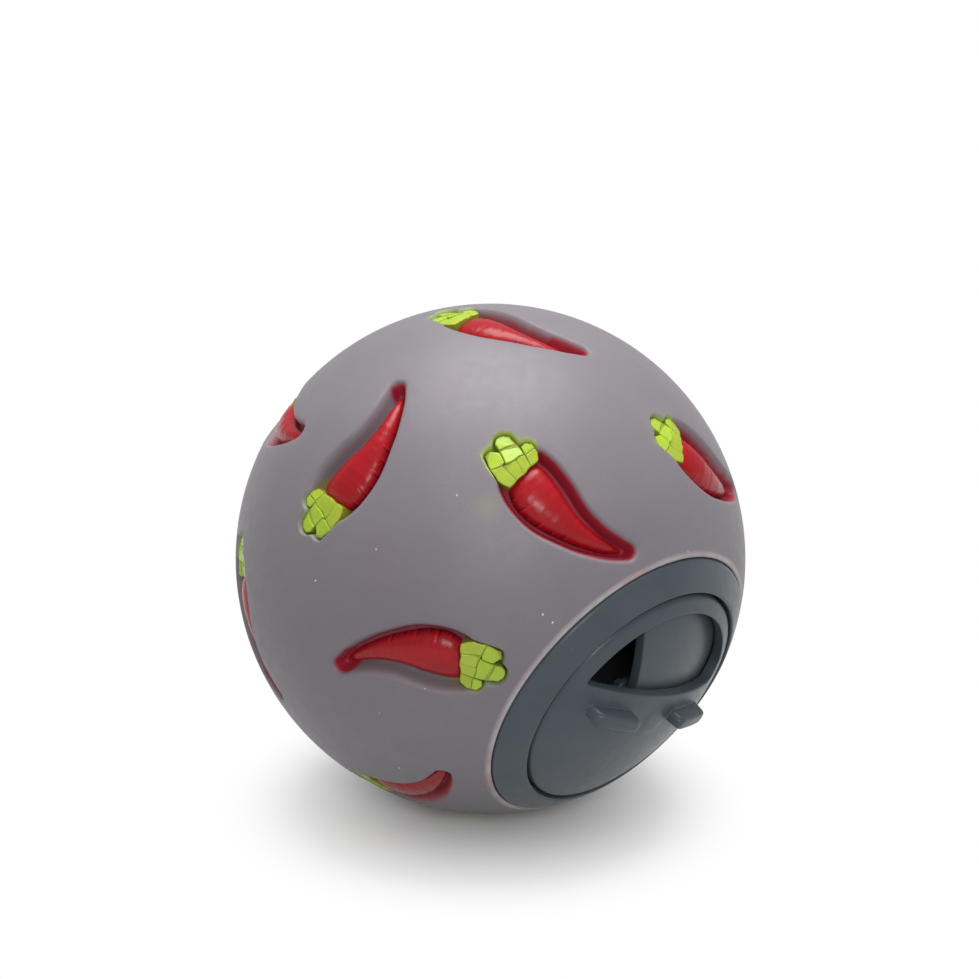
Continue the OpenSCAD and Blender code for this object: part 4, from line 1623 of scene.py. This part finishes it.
class TREATBALL_OT_roots(bpy.types.Operator):
    """Set a red carrot root in every pocket"""
    bl_idname = "treatball.roots"
    bl_label = "Build carrot roots"

    def execute(self, context):
        f = settings().finish
        # The lighter red is a painted highlight on the nicks' raised edges, and the deep red is
        # painted shade in the nicks and at the roots' feet
        paint = painted("red_paint", f.red, shade(f.red, 1.7), f.red_painted_shade, shade(f.lime, 1.3),
                        thin_scale=240, gloss=0.3)
        roots = set_reliefs(make_root_form(), "carrot_roots", paint)
        put(roots, BODY, nodes_named("carrot_root_"))
        return {"FINISHED"}


class TREATBALL_OT_tops(bpy.types.Operator):
    """Set a lime leaf top in every pocket"""
    bl_idname = "treatball.tops"
    bl_label = "Build carrot tops"

    def execute(self, context):
        f = settings().finish
        # The deep lime is painted shade in the seams between the scales and down their sides
        paint = painted("lime_paint", f.olive, f.lime, f.lime_painted_shade, shade(f.red, 0.5),
                        thin_scale=420, gloss=0.45)
        tops = set_reliefs(make_leaf_form(), "carrot_tops", paint)
        put(tops, BODY, nodes_named("carrot_top_"))
        return {"FINISHED"}


class TREATBALL_OT_insert(bpy.types.Operator):
    """Build the plug's ring, neck, snap bead, domed floor and hub"""
    bl_idname = "treatball.insert"
    bl_label = "Build plug insert"

    def execute(self, context):
        put(make_insert(), BODY, ["plug_insert"], slate_plastic())
        return {"FINISHED"}


class TREATBALL_OT_dial(bpy.types.Operator):
    """Build the turning dial with its window, finger ribs and snap axle"""
    bl_idname = "treatball.dial"
    bl_label = "Build dial"

    def execute(self, context):
        put(make_dial(), DIAL_BODY, ["dial"], slate_plastic())
        return {"FINISHED"}


class TREATBALL_OT_stage(bpy.types.Operator):
    """Set the floor, the lights and the camera"""
    bl_idname = "treatball.stage"
    bl_label = "Set the stage"

    def execute(self, context):
        make_stage()
        return {"FINISHED"}


class TREATBALL_PT_build(bpy.types.Panel):
    """Lists the steps that build the ball"""
    bl_idname = "TREATBALL_PT_build"
    bl_label = "Treat Ball"
    bl_space_type = "VIEW_3D"
    bl_region_type = "UI"
    bl_category = "Treat Ball"

    def draw(self, context):
        for step in STEPS:
            self.layout.operator(step.bl_idname)
        for group in ("ball", "carrot", "plug", "finish", "stage"):
            box = self.layout.box()
            box.label(text=group.capitalize())
            values = getattr(context.scene.treat_ball, group)
            for name in values.__annotations__:
                box.prop(values, name)


STEPS = (TREATBALL_OT_shell, TREATBALL_OT_roots, TREATBALL_OT_tops, TREATBALL_OT_insert,
         TREATBALL_OT_dial, TREATBALL_OT_stage)
CLASSES = (BallSizes, CarrotSizes, PlugSizes, Finishes, StageSettings, TreatBall,
           *STEPS, TREATBALL_PT_build)


def register():
    for item in CLASSES:
        bpy.utils.register_class(item)
    bpy.types.Scene.treat_ball = bpy.props.PointerProperty(type=TreatBall)


def unregister():
    del bpy.types.Scene.treat_ball
    for item in reversed(CLASSES):
        bpy.utils.unregister_class(item)


def main():
    register()
    for step in STEPS:
        part, name = step.bl_idname.split(".")
        getattr(getattr(bpy.ops, part), name)()


if __name__ == "__main__":
    main()
